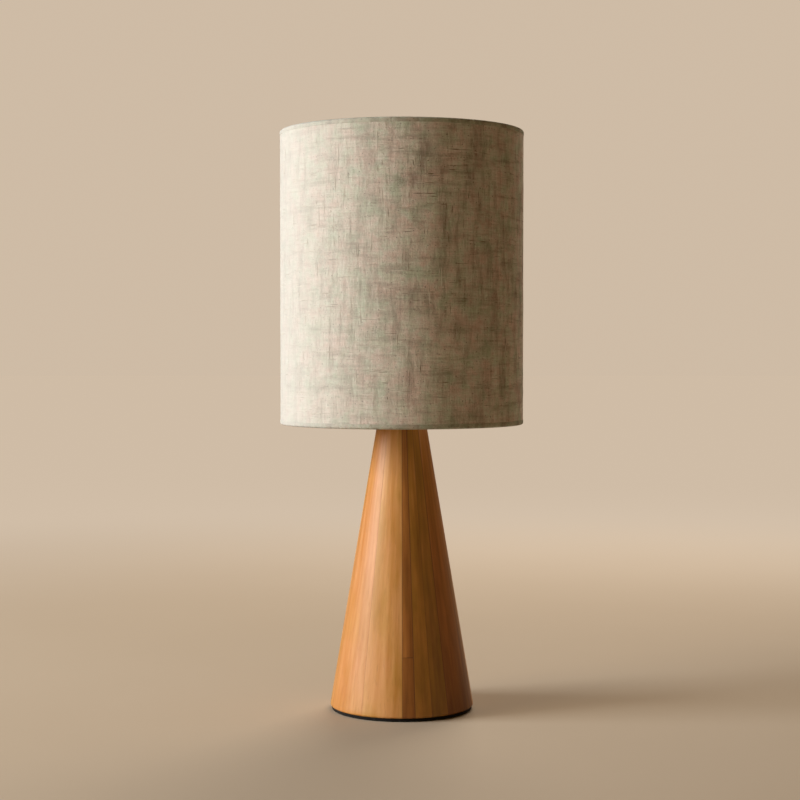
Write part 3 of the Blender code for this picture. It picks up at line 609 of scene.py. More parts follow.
class Slot(Enum):
    """The record's material slots, and the finish that each one takes."""

    WOOD = ("oiled_wood", TimberFinish("oiled_wood"))
    PLYWOOD = (
        "plywood",
        HardFinish(
            "birch_plywood",
            (0.50, 0.35, 0.20),
            (0.6, 0.85),
            grain=420.0,
            relief=0.08 * MM,
            worn=(0.62, 0.47, 0.30),
        ),
    )
    IRON = ("cast_iron", HardFinish("cast_iron", (0.045, 0.043, 0.042), (0.5, 0.8), 0.7, 700.0, 0.12 * MM))
    ZINC = ("zinc_steel", HardFinish("zinc_steel", (0.60, 0.60, 0.58), (0.25, 0.45), 1.0, 2200.0, 0.01 * MM))
    BRASS = (
        "brass",
        HardFinish("brass", (0.70, 0.47, 0.19), (0.22, 0.42), 1.0, 1600.0, 0.01 * MM, (0.55, 0.36, 0.15)),
    )
    FELT = ("black_felt", FeltFinish("black_felt"))
    MOULDING = (
        "black_moulding",
        HardFinish("black_moulding", (0.012, 0.012, 0.013), (0.32, 0.5), 0.0, 1500.0, 0.015 * MM),
    )
    CERAMIC = (
        "ceramic",
        HardFinish("glazed_ceramic", (0.80, 0.77, 0.70), (0.2, 0.35), 0.0, 500.0, 0.03 * MM),
    )
    ENAMEL = (
        "white_enamel",
        HardFinish("white_enamel", (0.78, 0.77, 0.74), (0.35, 0.5), 0.0, 1200.0, 0.03 * MM),
    )
    LINEN = ("linen", LinenFinish("slub_linen"))
    TAPE = (
        "linen",
        LinenFinish("linen_tape", bias=math.radians(45), shade=(0.68, 0.74, 0.66), broad_pitch=2.6 * MM),
    )
    YARN = ("linen", YarnFinish("slub_yarn"))
    LINER = (
        "liner_film",
        HardFinish("liner_film", (0.86, 0.845, 0.80), (0.3, 0.5), 0.0, 350.0, 0.05 * MM, dust=0.0),
    )
    OPAL = (
        "opal_plastic",
        HardFinish(
            "opal_diffuser",
            (0.87, 0.87, 0.85),
            (0.32, 0.45),
            0.0,
            1800.0,
            0.008 * MM,
            extra=(("Subsurface Weight", 0.3), ("Subsurface Scale", 0.004)),
        ),
    )
    WHITE = (
        "white_plastic",
        HardFinish("white_housing", (0.80, 0.80, 0.79), (0.28, 0.42), 0.0, 1500.0, 0.01 * MM),
    )
    NICKEL = ("nickel", HardFinish("nickel_cap", (0.64, 0.61, 0.56), (0.18, 0.34), 1.0, 1900.0, 0.008 * MM))
    CIRCUIT = (
        "circuit_board",
        HardFinish("circuit_board", (0.03, 0.17, 0.07), (0.3, 0.5), 0.0, 800.0, 0.03 * MM),
    )

    def __init__(self, label: str, finish: object) -> None:
        """Keep the record's slot name and the finish."""
        self.label = label
        self.finish = finish


class Wardrobe:
    """Builds each finish once and hands it out."""

    def __init__(self) -> None:
        """Build the shared effects."""
        self.effects = Effects(weave_group(), timber_group(), surface_group())
        self.made: dict[Slot, bpy.types.Material] = {}

    def get(self, slot: Slot) -> bpy.types.Material:
        """Give a slot's material, built on first use."""
        if slot not in self.made:
            self.made[slot] = slot.finish.build(self.effects)
        return self.made[slot]


# ---------------------------------------------------------------- meshes


def span(node: str) -> tuple[float, float]:
    """The lowest and highest Z of a frame node."""
    low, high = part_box(node)
    return low.z, high.z


def reach(node: str) -> float:
    """The outer radius of a round frame node on the lamp's axis."""
    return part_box(node)[1].x


def round_point(radius: float, turn: float, height: float) -> tuple[float, float, float]:
    """Give the point at a radius and a height, at a turn from the front towards +X."""
    return (radius * math.sin(turn), -radius * math.cos(turn), height)


def rod_outline(radius: float, length: float) -> Outline:
    """Give the outline of a plain rod that stands on the origin."""
    return [(0, 0), (radius, 0), (radius, length), (0, length)]


def finish_mesh(name: str, bm: bmesh.types.BMesh, sharp: float | None = 40.0) -> Piece:
    """Turn a bmesh into a linked object whose faces point out.

    Args:
        name: the object's name.
        bm: the mesh; it is freed.
        sharp: the angle in degrees above which an edge stays sharp, or None for all smooth.

    Returns:
        The object.
    """
    bmesh.ops.remove_doubles(bm, verts=bm.verts, dist=1e-6)
    bmesh.ops.recalc_face_normals(bm, faces=bm.faces)
    if bm.calc_volume(signed=True) < 0:
        bmesh.ops.reverse_faces(bm, faces=bm.faces)
    mesh = bpy.data.meshes.new(name)
    bm.to_mesh(mesh)
    bm.free()
    mesh.shade_smooth()
    if sharp is not None:
        mesh.set_sharp_from_angle(angle=math.radians(sharp))
    made = bpy.data.objects.new(name, mesh)
    bpy.context.scene.collection.objects.link(made)
    return made


def softened(outline: Outline, radius: float, steps: int = 3) -> Outline:
    """Round the corners of a closed (radius, z) outline.

    Args:
        outline: the sharp corners in order.
        radius: the largest length cut from each side of a corner.
        steps: segments across each rounded corner.

    Returns:
        The rounded outline.
    """
    found: Outline = []
    count = len(outline)
    for i, corner in enumerate(outline):
        here = Vector(corner)
        before, after = Vector(outline[i - 1]) - here, Vector(outline[(i + 1) % count]) - here
        on_axis = here.x < 1e-7
        straight = before.length < 1e-7 or after.length < 1e-7
        if on_axis or straight or before.angle(after) > math.radians(150):
            found.append(corner)
            continue
        cut = min(radius, before.length * 0.45, after.length * 0.45)
        first, last = here + before.normalized() * cut, here + after.normalized() * cut
        for k in range(steps + 1):
            t = k / steps
            point = first * (1 - t) ** 2 + here * (2 * t * (1 - t)) + last * t**2
            found.append((point.x, point.y))
    return found


def lathe(name: str, outline: Outline, segments: int = 96, sharp: float | None = 40.0) -> Piece:
    """Turn a closed (radius, z) outline all the way round Z.

    Args:
        name: the object's name.
        outline: the closed outline.
        segments: facets round the axis.
        sharp: see finish_mesh.

    Returns:
        The turned solid.
    """
    bm = bmesh.new()
    rings = []
    for r, z in outline:
        if r < 1e-7:
            rings.append([bm.verts.new((0, 0, z))] * segments)
            continue
        rings.append([bm.verts.new(round_point(r, TURN * i / segments, z)) for i in range(segments)])
    for low, high in zip(rings, rings[1:] + rings[:1]):
        if low[0] is low[1] and high[0] is high[1]:
            continue
        for i in range(segments):
            j = (i + 1) % segments
            corners = list(dict.fromkeys((low[i], low[j], high[j], high[i])))
            bm.faces.new(corners)
    return finish_mesh(name, bm, sharp)


def bake_tree(
    name: str,
    tree: Tree,
    values: dict[str, object],
    sharp: float | None = None,
    path: Sequence[tuple] = (),
) -> Piece:
    """Run a geometry tree and keep the result as a plain mesh.

    Args:
        name: the new object's name.
        tree: the geometry node tree.
        values: input name to value.
        sharp: sharpness angle in degrees, or None to leave the tree's own shading.
        path: the corners of the path that the tree follows, where it follows one.

    Returns:
        The object, at the origin and with no modifier.
    """
    host = bpy.data.meshes.new(name + "_host")
    host.from_pydata(list(path), [(i, i + 1) for i in range(len(path) - 1)], [])
    made = bpy.data.objects.new(name, host)
    bpy.context.scene.collection.objects.link(made)
    modifier = made.modifiers.new(name, "NODES")
    modifier.node_group = tree
    for item in tree.interface.items_tree:
        if item.item_type == "SOCKET" and item.in_out == "INPUT" and item.name in values:
            modifier[item.identifier] = values[item.name]
    graph = bpy.context.evaluated_depsgraph_get()
    mesh = bpy.data.meshes.new_from_object(made.evaluated_get(graph))
    made.modifiers.clear()
    mesh.name = name
    made.data = mesh
    if sharp is not None:
        mesh.set_sharp_from_angle(angle=math.radians(sharp))
    return made


def mount(piece: Piece, body: Body, slot: Slot, wardrobe: Wardrobe, stands_for: Sequence[str] = ()) -> Piece:
    """Dress a piece and fix it to a moving group.

    Args:
        piece: the finished piece.
        body: the group it moves with.
        slot: its finish.
        wardrobe: where finishes come from.
        stands_for: the frame nodes that it hides.

    Returns:
        The piece.
    """
    piece.data.materials.clear()
    piece.data.materials.append(wardrobe.get(slot))
    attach(piece, body.value)
    if stands_for:
        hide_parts(*stands_for)
    log.info("%s on %s, %d faces", piece.name, body.value, len(piece.data.polygons))
    return piece


# ---------------------------------------------------------------- the wooden cone


@dataclass(frozen=True)
class Board:
    """One stave of the cone.

    Attributes:
        width: its width in degrees.
        tone: how pale it is.
        hue: how pink it is, or how green below 0.
        line: the strength of its first glue line.
        joint: the height of its end joint, if it has one.
        tone_above: its tone above that joint.
        lift: how much paler it gets from foot to top.
    """

    width: float
    tone: float
    hue: float
    line: float
    joint: float | None = None
    tone_above: float | None = None
    lift: float = 0.0


@dataclass
class WoodenCone:
    """The turned cone of glued staves."""

    boards: tuple[Board, ...] = (
        Board(10, 0.2, 0.35, 0.5, 63 * MM, 0.3),
        Board(14, 0.40, -0.5, 1.0, lift=0.1),
        Board(15, 0.34, -0.7, 0.4, lift=0.15),
        Board(41, 0.14, 0.5, 0.8, lift=0.5),
        Board(41, 0.55, -0.2, 0.3, 151 * MM, 0.4),
        Board(41, 0.34, 0.3, 0.7),
        Board(41, 0.52, -0.4, 0.2),
        Board(41, 0.28, 0.5, 0.9, 88 * MM, 0.45),
        Board(41, 0.6, 0.2, 0.3),
        Board(41, 0.62, 0.55, 0.6),
        Board(34, 0.66, -0.05, 0.15),
    )
    first_seam: float = 0.5
    thickness: float = 13 * MM
    foot_radius: float = 74.2 * MM
    top_radius: float = 24 * MM
    foot_round: float = 2.2 * MM
    edge: float = 0.06 * MM
    half_gap: float = 0.006 * MM
    grain_radius: float = 49 * MM
    row_step: float = 6 * MM
    column_step: float = 2.2
    bush_hole: float = 6 * MM
    bush_seat: float = 8.6 * MM
    seat_depth: float = 2.3 * MM
    hole_start: float = 30 * MM
    glue_line: float = 0.9 * MM
    stave_shift: Vector = field(default_factory=lambda: Vector((0.31, 0.77, 0.13)))
    joint_shift: float = 0.17
    foot: float = field(default_factory=lambda: span("stave_01")[0])
    top: float = field(default_factory=lambda: span("stave_01")[1])

    def radius(self, height: float) -> float:
        """The cone's radius at a height."""
        share = (height - self.foot) / (self.top - self.foot)
        return self.foot_radius + (self.top_radius - self.foot_radius) * share

    def rows(self, board: Board) -> list[tuple[float, float]]:
        """The heights of a board's rings, each with the rounding's inset there."""
        found = []
        for k in range(5):
            angle = math.radians(22.5 * k)
            rise, inset = 1 - math.cos(angle), 1 - math.sin(angle)
            found.append((self.foot + self.foot_round * rise, self.foot_round * inset))
        count = round((self.top - self.foot) / self.row_step)
        for k in range(1, count):
            found.append((self.foot + (self.top - self.foot) * k / count, 0.0))
        small = self.foot_round / 2
        found += [(self.top - small, 0.0), (self.top - small / 3, small / 4), (self.top, small)]
        if board.joint is not None:
            found += [(board.joint + step * MM, 0.0) for step in (-0.8, -0.05, 0.05, 0.8)]
        return sorted(set(found))

    def make_board(self, index: int, board: Board, start: float) -> Piece:
        """Make one stave.

        Args:
            index: its number, from 1.
            board: what it is like.
            start: its first edge, as a turn from the front in radians.

        Returns:
            The stave, with its board space, tone and seam distance stored on its points.
        """
        width = math.radians(board.width)
        middle = start + width / 2
        columns = max(6, round(board.width / self.column_step))
        inward = Vector((-math.sin(middle), math.cos(middle), 0))
        lean = (self.foot_radius - self.top_radius) / (self.top - self.foot)
        bm = bmesh.new()
        space = bm.verts.layers.float_vector.new("board")
        tone = bm.verts.layers.float.new("tone")
        hue = bm.verts.layers.float.new("hue")
        line = bm.verts.layers.float.new("line")
        next_line = self.boards[index % len(self.boards)].line
        seam = bm.verts.layers.float.new("seam")
        rings = []
        for height, inset in self.rows(board):
            outer = self.radius(height) - inset
            inner = (self.radius(height) - self.thickness) / math.cos(width / 2)
            slack, cut = self.half_gap / outer, self.edge / outer
            near = min(self.glue_line / outer, width * 0.2)
            turns = [
                (start + slack, outer - self.edge),
                (start + slack + cut, outer),
                (start + slack + near, outer),
            ]
            first, last = start + slack + near, start + width - slack - near
            turns += [(first + (last - first) * i / columns, outer) for i in range(1, columns)]
            turns += [(start + width - slack - near, outer), (start + width - slack - cut, outer)]
            turns += [(start + width - slack, outer - self.edge)]
            turns += [(start + width - self.half_gap / inner, inner), (start + self.half_gap / inner, inner)]
            above = board.joint is not None and height > board.joint
            ring = []
            for turn, radius in turns:
                vert = bm.verts.new(round_point(radius, turn, height))
                shift = self.stave_shift * index + Vector((self.joint_shift if above else 0.0, 0, 0))
                depth = vert.co.dot(inward) - lean * height
                place = Vector(((turn - middle) * self.grain_radius, height, depth))
                vert[space] = place + shift
                share = (height - self.foot) / (self.top - self.foot)
                vert[tone] = (board.tone_above if above else board.tone) + board.lift * share
                vert[hue] = board.hue
                to_edge = min(turn - start, start + width - turn) * radius
                vert[line] = board.line if turn < middle else next_line
                to_joint = abs(height - board.joint) if board.joint is not None else 1.0
                vert[seam] = min(to_edge, to_joint)
                ring.append(vert)
            rings.append(ring)
        bm.faces.new(rings[0])
        bm.faces.new(rings[-1])
        for low, high in zip(rings, rings[1:]):
            for i in range(len(low)):
                j = (i + 1) % len(low)
                bm.faces.new((low[i], low[j], high[j], high[i]))
        return finish_mesh(f"cone_board_{index:02d}", bm, 30.0)

    def drill_inlet(self, board: Piece) -> None:
        """Cut the lead's hole and its flat seat through the back board."""
        low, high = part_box("inlet_bush")
        height = (low.z + high.z) / 2
        seat = high.y - self.seat_depth
        for radius, start in ((self.bush_hole, self.hole_start), (self.bush_seat, seat)):
            drill(board, radius, Vector((0, start, height)), ALONG_Y, 48)

    def build(self, wardrobe: Wardrobe) -> None:
        """Make and dress every stave."""
        start = math.radians(self.first_seam)
        for index, board in enumerate(self.boards, 1):
            made = self.make_board(index, board, start)
            width = math.radians(board.width)
            if start < math.pi < start + width:
                self.drill_inlet(made)
            mount(made, Body.BASE, Slot.WOOD, wardrobe, [f"stave_{index:02d}"])
            start += width


def drill(piece: Piece, radius: float, start: Vector, facing: Matrix, segments: int) -> None:
    """Drill a straight round hole.

    Args:
        piece: the piece to drill.
        radius: the hole's radius.
        start: the middle of the hole's first end.
        facing: the turn from Z to the hole's direction.
        segments: facets round the hole.
    """
    cutter = lathe("drill", rod_outline(radius, BORE_LENGTH), segments)
    cutter.data.transform(Matrix.Translation(start) @ facing)
    step = piece.modifiers.new("drill", "BOOLEAN")
    step.operation = "DIFFERENCE"
    step.solver = "EXACT"
    step.object = cutter
    graph = bpy.context.evaluated_depsgraph_get()
    mesh = bpy.data.meshes.new_from_object(piece.evaluated_get(graph))
    piece.modifiers.clear()
    piece.data = mesh
    mesh.set_sharp_from_angle(angle=math.radians(30))
    bpy.data.objects.remove(cutter)


@dataclass
class Foot:
    """The felt pad under the cone."""

    corner: float = 0.9 * MM

    def build(self, wardrobe: Wardrobe) -> None:
        """Make the pad."""
        low, high = span("foot_pad")
        radius = reach("foot_pad")
        half = radius * 0.5
        outline = [(0, low), (half, low), (radius, low), (radius, high), (half, high), (0, high)]
        pad = lathe("felt_pad", softened(outline, self.corner), 144)
        mount(pad, Body.BASE, Slot.FELT, wardrobe, ["foot_pad"])


# ---------------------------------------------------------------- threads, ribs and rods


def sweep(graph: Graph, path: object, radius: object, sides: int) -> Socket:
    """Sweep a round section along a curve and close its ends.

    Args:
        graph: the tree being wired.
        path: the curve.
        radius: the section's radius.
        sides: the section's sides.

    Returns:
        The swept mesh.
    """
    section = graph.node("GeometryNodeCurvePrimitiveCircle", {"Resolution": sides, "Radius": radius})
    wires = {"Curve": path, "Profile Curve": section.outputs[0], "Fill Caps": True}
    return graph.node("GeometryNodeCurveToMesh", wires).outputs[0]


def raise_shape(graph: Graph, shape: object, height: object) -> Socket:
    """Move a shape up by a height."""
    wires = {"Geometry": shape, "Translation": graph.join(0.0, 0.0, height)}
    return graph.node("GeometryNodeTransform", wires).outputs[0]


def thread_tree() -> Tree:
    """A helical ridge on a cylinder.

    Returns:
        A tree with inputs for its radius, ridge, turns, foot and height.
    """
    graph, given, out = new_group(
        "screw_thread",
        "GeometryNodeTree",
        [
            ("Radius", FLOAT, 0.02),
            ("Ridge", FLOAT, 0.45 * MM),
            ("Turns", FLOAT, 8.0),
            ("Foot", FLOAT, 0.0),
            ("Height", FLOAT, 0.02),
            ("Finish", "NodeSocketMaterial", None),
        ],
        [("Geometry", "NodeSocketGeometry")],
    )
    radius, ridge, turns, foot, height, finish = given.outputs[:6]
    wires = {
        "Resolution": 60,
        "Rotations": turns,
        "Start Radius": radius,
        "End Radius": radius,
        "Height": height,
    }
    path = graph.node("GeometryNodeCurveSpiral", wires).outputs[0]
    return close_tree(graph, raise_shape(graph, sweep(graph, path, ridge, 6), foot), finish, out)


def close_tree(graph: Graph, shape: object, finish: object, out: bpy.types.Node) -> Tree:
    """End a geometry tree: smooth shading, realised instances and a material.

    Args:
        graph: the tree being wired.
        shape: the geometry socket to finish.
        finish: the material socket.
        out: the tree's output node.

    Returns:
        The finished tree.
    """
    smooth = graph.node("GeometryNodeSetShadeSmooth", {"Geometry": shape}).outputs[0]
    real = graph.node("GeometryNodeRealizeInstances", {"Geometry": smooth}).outputs[0]
    dressed = graph.node("GeometryNodeSetMaterial", {"Geometry": real, "Material": finish}).outputs[0]
    graph.tree.links.new(dressed, out.inputs[0])
    return graph.tree


def rib_tree() -> Tree:
    """Upright grip ribs evenly spaced round a ring.

    Returns:
        A tree with inputs for the ribs' count, circle, size, foot and height.
    """
    graph, given, out = new_group(
        "grip_ribs",
        "GeometryNodeTree",
        [
            ("Count", "NodeSocketInt", 36),
            ("Radius", FLOAT, 0.028),
            ("Rib", FLOAT, 0.7 * MM),
            ("Foot", FLOAT, 0.0),
            ("Height", FLOAT, 4 * MM),
            ("Finish", "NodeSocketMaterial", None),
        ],
        [("Geometry", "NodeSocketGeometry")],
    )
    count, radius, rib, foot, height, finish = given.outputs[:6]
    ring = graph.node("GeometryNodeMeshCircle", {"Vertices": count, "Radius": radius}).outputs[0]
    bar = graph.node("GeometryNodeMeshUVSphere", {"Segments": 8, "Rings": 6, "Radius": 1.0}).outputs[0]
    middle = graph.math("MULTIPLY_ADD", height, 0.5, foot)
    size = graph.join(rib, rib, graph.math("MULTIPLY", height, 0.56))
    wires = {"Points": ring, "Instance": bar, "Scale": size}
    placed = graph.node("GeometryNodeInstanceOnPoints", wires).outputs[0]
    return close_tree(graph, raise_shape(graph, placed, middle), finish, out)


def rod_tree() -> Tree:
    """A round rod with rounded bends along a straight-sided path on the host mesh.

    Returns:
        A tree with inputs for the path, the rod's radius and the bends' radius.
    """
    graph, given, out = new_group(
        "bent_rod",
        "GeometryNodeTree",
        [
            ("Geometry", "NodeSocketGeometry", None),
            ("Radius", FLOAT, 2 * MM),
            ("Bend", FLOAT, 9 * MM),
            ("Finish", "NodeSocketMaterial", None),
        ],
        [("Geometry", "NodeSocketGeometry")],
    )
    path, radius, bend, finish = given.outputs[:4]
    line = graph.node("GeometryNodeMeshToCurve", {"Mesh": path}).outputs[0]
    wires = {"Curve": line, "Radius": bend, "Limit Radius": True, "Count": 6}
    bent = graph.node("GeometryNodeFilletCurve", wires, mode="POLY").outputs[0]
    return close_tree(graph, sweep(graph, bent, radius, 16), finish, out)


def slub_tree() -> Tree:
    """Thick places in the yarn, scattered over a flat cloth and wrapped round a drum.

    Returns:
        A tree with inputs for the cloth, the slubs' sizes, their turn and the seed.
    """
    graph, given, out = new_group(
        "slub_yarns",
        "GeometryNodeTree",
        [
            ("Width", FLOAT, 0.785),
            ("Height", FLOAT, 0.28),
            ("Middle", FLOAT, 0.44),
            ("Drum Radius", FLOAT, 0.125),
            ("Density", FLOAT, 1200.0),
            ("Smallest", VECTOR, None),
            ("Largest", VECTOR, None),
            ("Turn", FLOAT, 0.0),
            ("Seed", "NodeSocketInt", 3),
            ("Finish", "NodeSocketMaterial", None),
        ],
        [("Geometry", "NodeSocketGeometry")],
    )
    width, height, middle, drum, density, smallest, largest, turn, seed, finish = given.outputs[:10]
    wires = {"Size X": width, "Size Y": height, "Vertices X": 2, "Vertices Y": 2}
    cloth = graph.node("GeometryNodeMeshGrid", wires).outputs[0]
    wires = {"Mesh": cloth, "Density": density, "Seed": seed}
    spots = graph.node("GeometryNodeDistributePointsOnFaces", wires).outputs[0]
    ball = graph.node("GeometryNodeMeshUVSphere", {"Segments": 6, "Rings": 8, "Radius": 1.0}).outputs[0]
    wires = {"Geometry": ball, "Rotation": (0.0, math.pi / 2, 0.0)}
    laid = graph.node("GeometryNodeTransform", wires).outputs[0]
    wires = {0: smallest, 1: largest, "Seed": seed}
    size = graph.node("FunctionNodeRandomValue", wires, data_type="FLOAT_VECTOR").outputs[0]
    wires = {2: -SLUB_SKEW, 3: SLUB_SKEW, "Seed": seed}
    spin = graph.node("FunctionNodeRandomValue", wires, data_type="FLOAT").outputs[1]
    facing = graph.join(0.0, 0.0, graph.math("ADD", turn, spin))
    wires = {"Points": spots, "Instance": laid, "Rotation": facing, "Scale": size}
    placed = graph.node("GeometryNodeInstanceOnPoints", wires).outputs[0]
    real = graph.node("GeometryNodeRealizeInstances", {"Geometry": placed}).outputs[0]
    x, y, z = graph.split(graph.node("GeometryNodeInputPosition").outputs[0])
    angle = graph.math("DIVIDE", x, drum)
    out_to = graph.math("ADD", drum, z)
    wrapped = graph.join(
        graph.math("MULTIPLY", out_to, graph.math("SINE", angle)),
        graph.math("MULTIPLY", graph.math("MULTIPLY", out_to, graph.math("COSINE", angle)), -1.0),
        graph.math("ADD", y, middle),
    )
    bent = graph.node("GeometryNodeSetPosition", {"Geometry": real, "Position": wrapped}).outputs[0]
    return close_tree(graph, bent, finish, out)


@dataclass
class Trees:
    """The geometry trees, each built once."""

    thread: Tree = field(default_factory=thread_tree)
    ribs: Tree = field(default_factory=rib_tree)
    rod: Tree = field(default_factory=rod_tree)
    slubs: Tree = field(default_factory=slub_tree)


# ---------------------------------------------------------------- lampholder


def rolled_tube(
    name: str, radius: float, wall: float, foot: float, top: float, pitch: float, depth: float
) -> Piece:
    """A thin tube with a rolled round thread.

    Args:
        name: the piece's name.
        radius: the middle radius of the outer wave.
        wall: the sheet's thickness.
        foot: its lowest height.
        top: its highest height.
        pitch: the thread's pitch.
        depth: half the wave's height.

    Returns:
        The tube.
    """
    segments, per_pitch = 72, 10
    count = round((top - foot) / pitch * per_pitch)
    heights = [foot + (top - foot) * k / count for k in range(count + 1)]
    bm = bmesh.new()
    rings = []
    for inset, order in ((0.0, heights), (wall, heights[::-1])):
        for z in order:
            ease = min(1.0, (z - foot) / pitch, (top - z) / pitch)
            ring = []
            for i in range(segments):
                turn = TURN * i / segments
                wave = depth * max(0.0, ease) * math.sin(TURN * (z - foot) / pitch - turn)
                r = radius - inset + wave
                ring.append(bm.verts.new(round_point(r, turn, z)))
            rings.append(ring)
    for low, high in zip(rings, rings[1:] + rings[:1]):
        for i in range(segments):
            j = (i + 1) % segments
            bm.faces.new((low[i], low[j], high[j], high[i]))
    return finish_mesh(name, bm, 60.0)


@dataclass
class Lampholder:
    """The switched lampholder on the cone's top, with the rings that clamp the shade."""

    cap_neck: float = 9 * MM
    cap_wall: float = 2.5 * MM
    skirt_bore: float = 17.2 * MM
    ring_bore: float = 20.1 * MM
    shell_bore: float = 13.5 * MM
    thread_pitch: float = 2.5 * MM
    lamp_pitch: float = 3.63 * MM
    neck_bore: float = 5.3 * MM
    switch_bore: float = 3.3 * MM
    grub_bore: float = 1.8 * MM
    grub_height: float = 2.6 * MM

    def make_cap(self, wardrobe: Wardrobe) -> None:
        """Make the lower shell, pierced for the switch bar and the grub screw."""
        low, high = span("holder_cap")
        outer, bar = reach("holder_cap"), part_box("switch_bar")
        shoulder = low + 12.4 * MM
        bore = self.neck_bore
        outline = [
            (bore, low),
            (self.cap_neck, low),
            (self.cap_neck, low + 4 * MM),
            (outer - 5 * MM, low + 4.3 * MM),
            (outer - 1.2 * MM, low + 8 * MM),
            (outer, shoulder),
            (outer, high - 4 * MM),
            (outer - 0.5 * MM, high - 3.6 * MM),
            (outer - 0.5 * MM, high - 2.8 * MM),
            (outer, high - 2.4 * MM),
            (outer, high),
            (outer - self.cap_wall, high),
            (outer - self.cap_wall, shoulder),
            (outer - 9 * MM, low + 7.2 * MM),
            (bore, low + 7.2 * MM),
        ]
        cap = lathe("holder_lower_shell", softened(outline, 1.2 * MM), 96)
        height = (bar[0].z + bar[1].z) / 2
        drill(cap, self.switch_bore, Vector((-BORE_LENGTH / 2, 0, height)), ALONG_X, 32)
        drill(cap, self.grub_bore, Vector((0, 0, low + self.grub_height)), ALONG_Y, 32)
        mount(cap, Body.BASE, Slot.MOULDING, wardrobe, ["holder_cap"])

    def make_skirt(self, wardrobe: Wardrobe, trees: Trees) -> None:
        """Make the threaded sleeve, its thread and the lower seat ring."""
        low, high = span("holder_skirt")
        flange, outer = reach("holder_skirt"), 19.5 * MM
        outline = [
            (self.skirt_bore, low),
            (flange, low),
            (flange, low + 2 * MM),
            (outer, low + 2 * MM),
            (outer, high),
            (self.skirt_bore - 2 * MM, high),
            (self.skirt_bore - 2 * MM, high - 2 * MM),
            (self.skirt_bore, high - 2 * MM),
        ]
        sleeve = lathe("holder_sleeve", softened(outline, 0.9 * MM), 96)
        mount(sleeve, Body.BASE, Slot.MOULDING, wardrobe, ["holder_skirt"])
        start, end = low + 3.2 * MM, high - 1.8 * MM
        values = {
            "Radius": outer,
            "Ridge": 0.5 * MM,
            "Turns": (end - start) / self.thread_pitch,
            "Foot": start,
            "Height": end - start,
            "Finish": wardrobe.get(Slot.MOULDING),
        }
        thread = bake_tree("sleeve_thread", trees.thread, values, 60.0)
        mount(thread, Body.BASE, Slot.MOULDING, wardrobe)
        self.make_ring("shade_seat_ring", "seat_ring", Body.BASE, Slot.MOULDING, wardrobe)
        self.make_ribs("seat_ring_grip", "seat_ring", 44, 0.45 * MM, Body.BASE, wardrobe, trees)

    def make_ring(
        self, name: str, node: str, body: Body, slot: Slot, wardrobe: Wardrobe, round_off: float = 0.5 * MM
    ) -> None:
        """Make a plain ring round the sleeve in place of a frame node.

        Args:
            name: the ring's name.
            node: the frame node that it stands for.
            body: the group it moves with.
            slot: its finish.
            wardrobe: where finishes come from.
            round_off: the rounding of its corners.
        """
        low, high = span(node)
        outer = reach(node)
        outline = [(self.ring_bore, low), (outer, low), (outer, high), (self.ring_bore, high)]
        mount(lathe(name, softened(outline, round_off), 96), body, slot, wardrobe, [node])

    def make_ribs(
        self, name: str, node: str, count: int, rib: float, body: Body, wardrobe: Wardrobe, trees: Trees
    ) -> None:
        """Put grip ribs round a ring.

        Args:
            name: the ribs' name.
            node: the frame node of the ring.
            count: how many ribs.
            rib: a rib's radius.
            body: the group they move with.
            wardrobe: where finishes come from.
            trees: the geometry trees.
        """
        low, high = span(node)
        values = {
            "Count": count,
            "Radius": reach(node),
            "Rib": rib,
            "Foot": low + 0.3 * MM,
            "Height": high - low - 0.9 * MM,
            "Finish": wardrobe.get(Slot.MOULDING),
        }
        ribs = bake_tree(name, trees.ribs, values)
        mount(ribs, body, Slot.MOULDING, wardrobe)

    def make_clamp(self, wardrobe: Wardrobe, trees: Trees) -> None:
        """Make the loose washer and the screwed clamp ring."""
        self.make_ring("shade_clamp_washer", "clamp_washer", Body.CLAMP_LIFT, Slot.ZINC, wardrobe, 0.25 * MM)
        self.make_ring("shade_clamp_ring", "clamp_ring", Body.CLAMP_TURN, Slot.MOULDING, wardrobe, 1.2 * MM)
        self.make_ribs("clamp_ring_grip", "clamp_ring", 40, 0.7 * MM, Body.CLAMP_TURN, wardrobe, trees)

    def make_switch(self, wardrobe: Wardrobe) -> None:
        """Make the push-through bar with its domed ends."""
        low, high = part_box("switch_bar")
        radius, length = (high.z - low.z) / 2, high.x - low.x
        bar = lathe("switch_push_bar", softened(rod_outline(radius, length), 1.3 * MM, 5), 48)
        middle = Vector((low.x, (low.y + high.y) / 2, (low.z + high.z) / 2))
        bar.data.transform(Matrix.Translation(middle) @ ALONG_X)
        mount(bar, Body.SWITCH, Slot.MOULDING, wardrobe, ["switch_bar"])

    def make_brass(self, wardrobe: Wardrobe) -> None:
        """Make the collar under the holder and the rolled screw shell."""
        low, high = span("top_collar")
        bore, outer = self.neck_bore, reach("top_collar")
        outline = [(bore, low), (outer, low), (outer, high), (bore, high)]
        collar = lathe("brass_collar", softened(outline, 0.9 * MM), 96)
        mount(collar, Body.BASE, Slot.BRASS, wardrobe, ["top_collar"])
        low, high = span("screw_shell")
        radius = self.shell_bore + 0.75 * MM
        shell = rolled_tube("rolled_screw_shell", radius, 0.4 * MM, low, high, self.lamp_pitch, 0.32 * MM)
        mount(shell, Body.BASE, Slot.BRASS, wardrobe, ["screw_shell"])

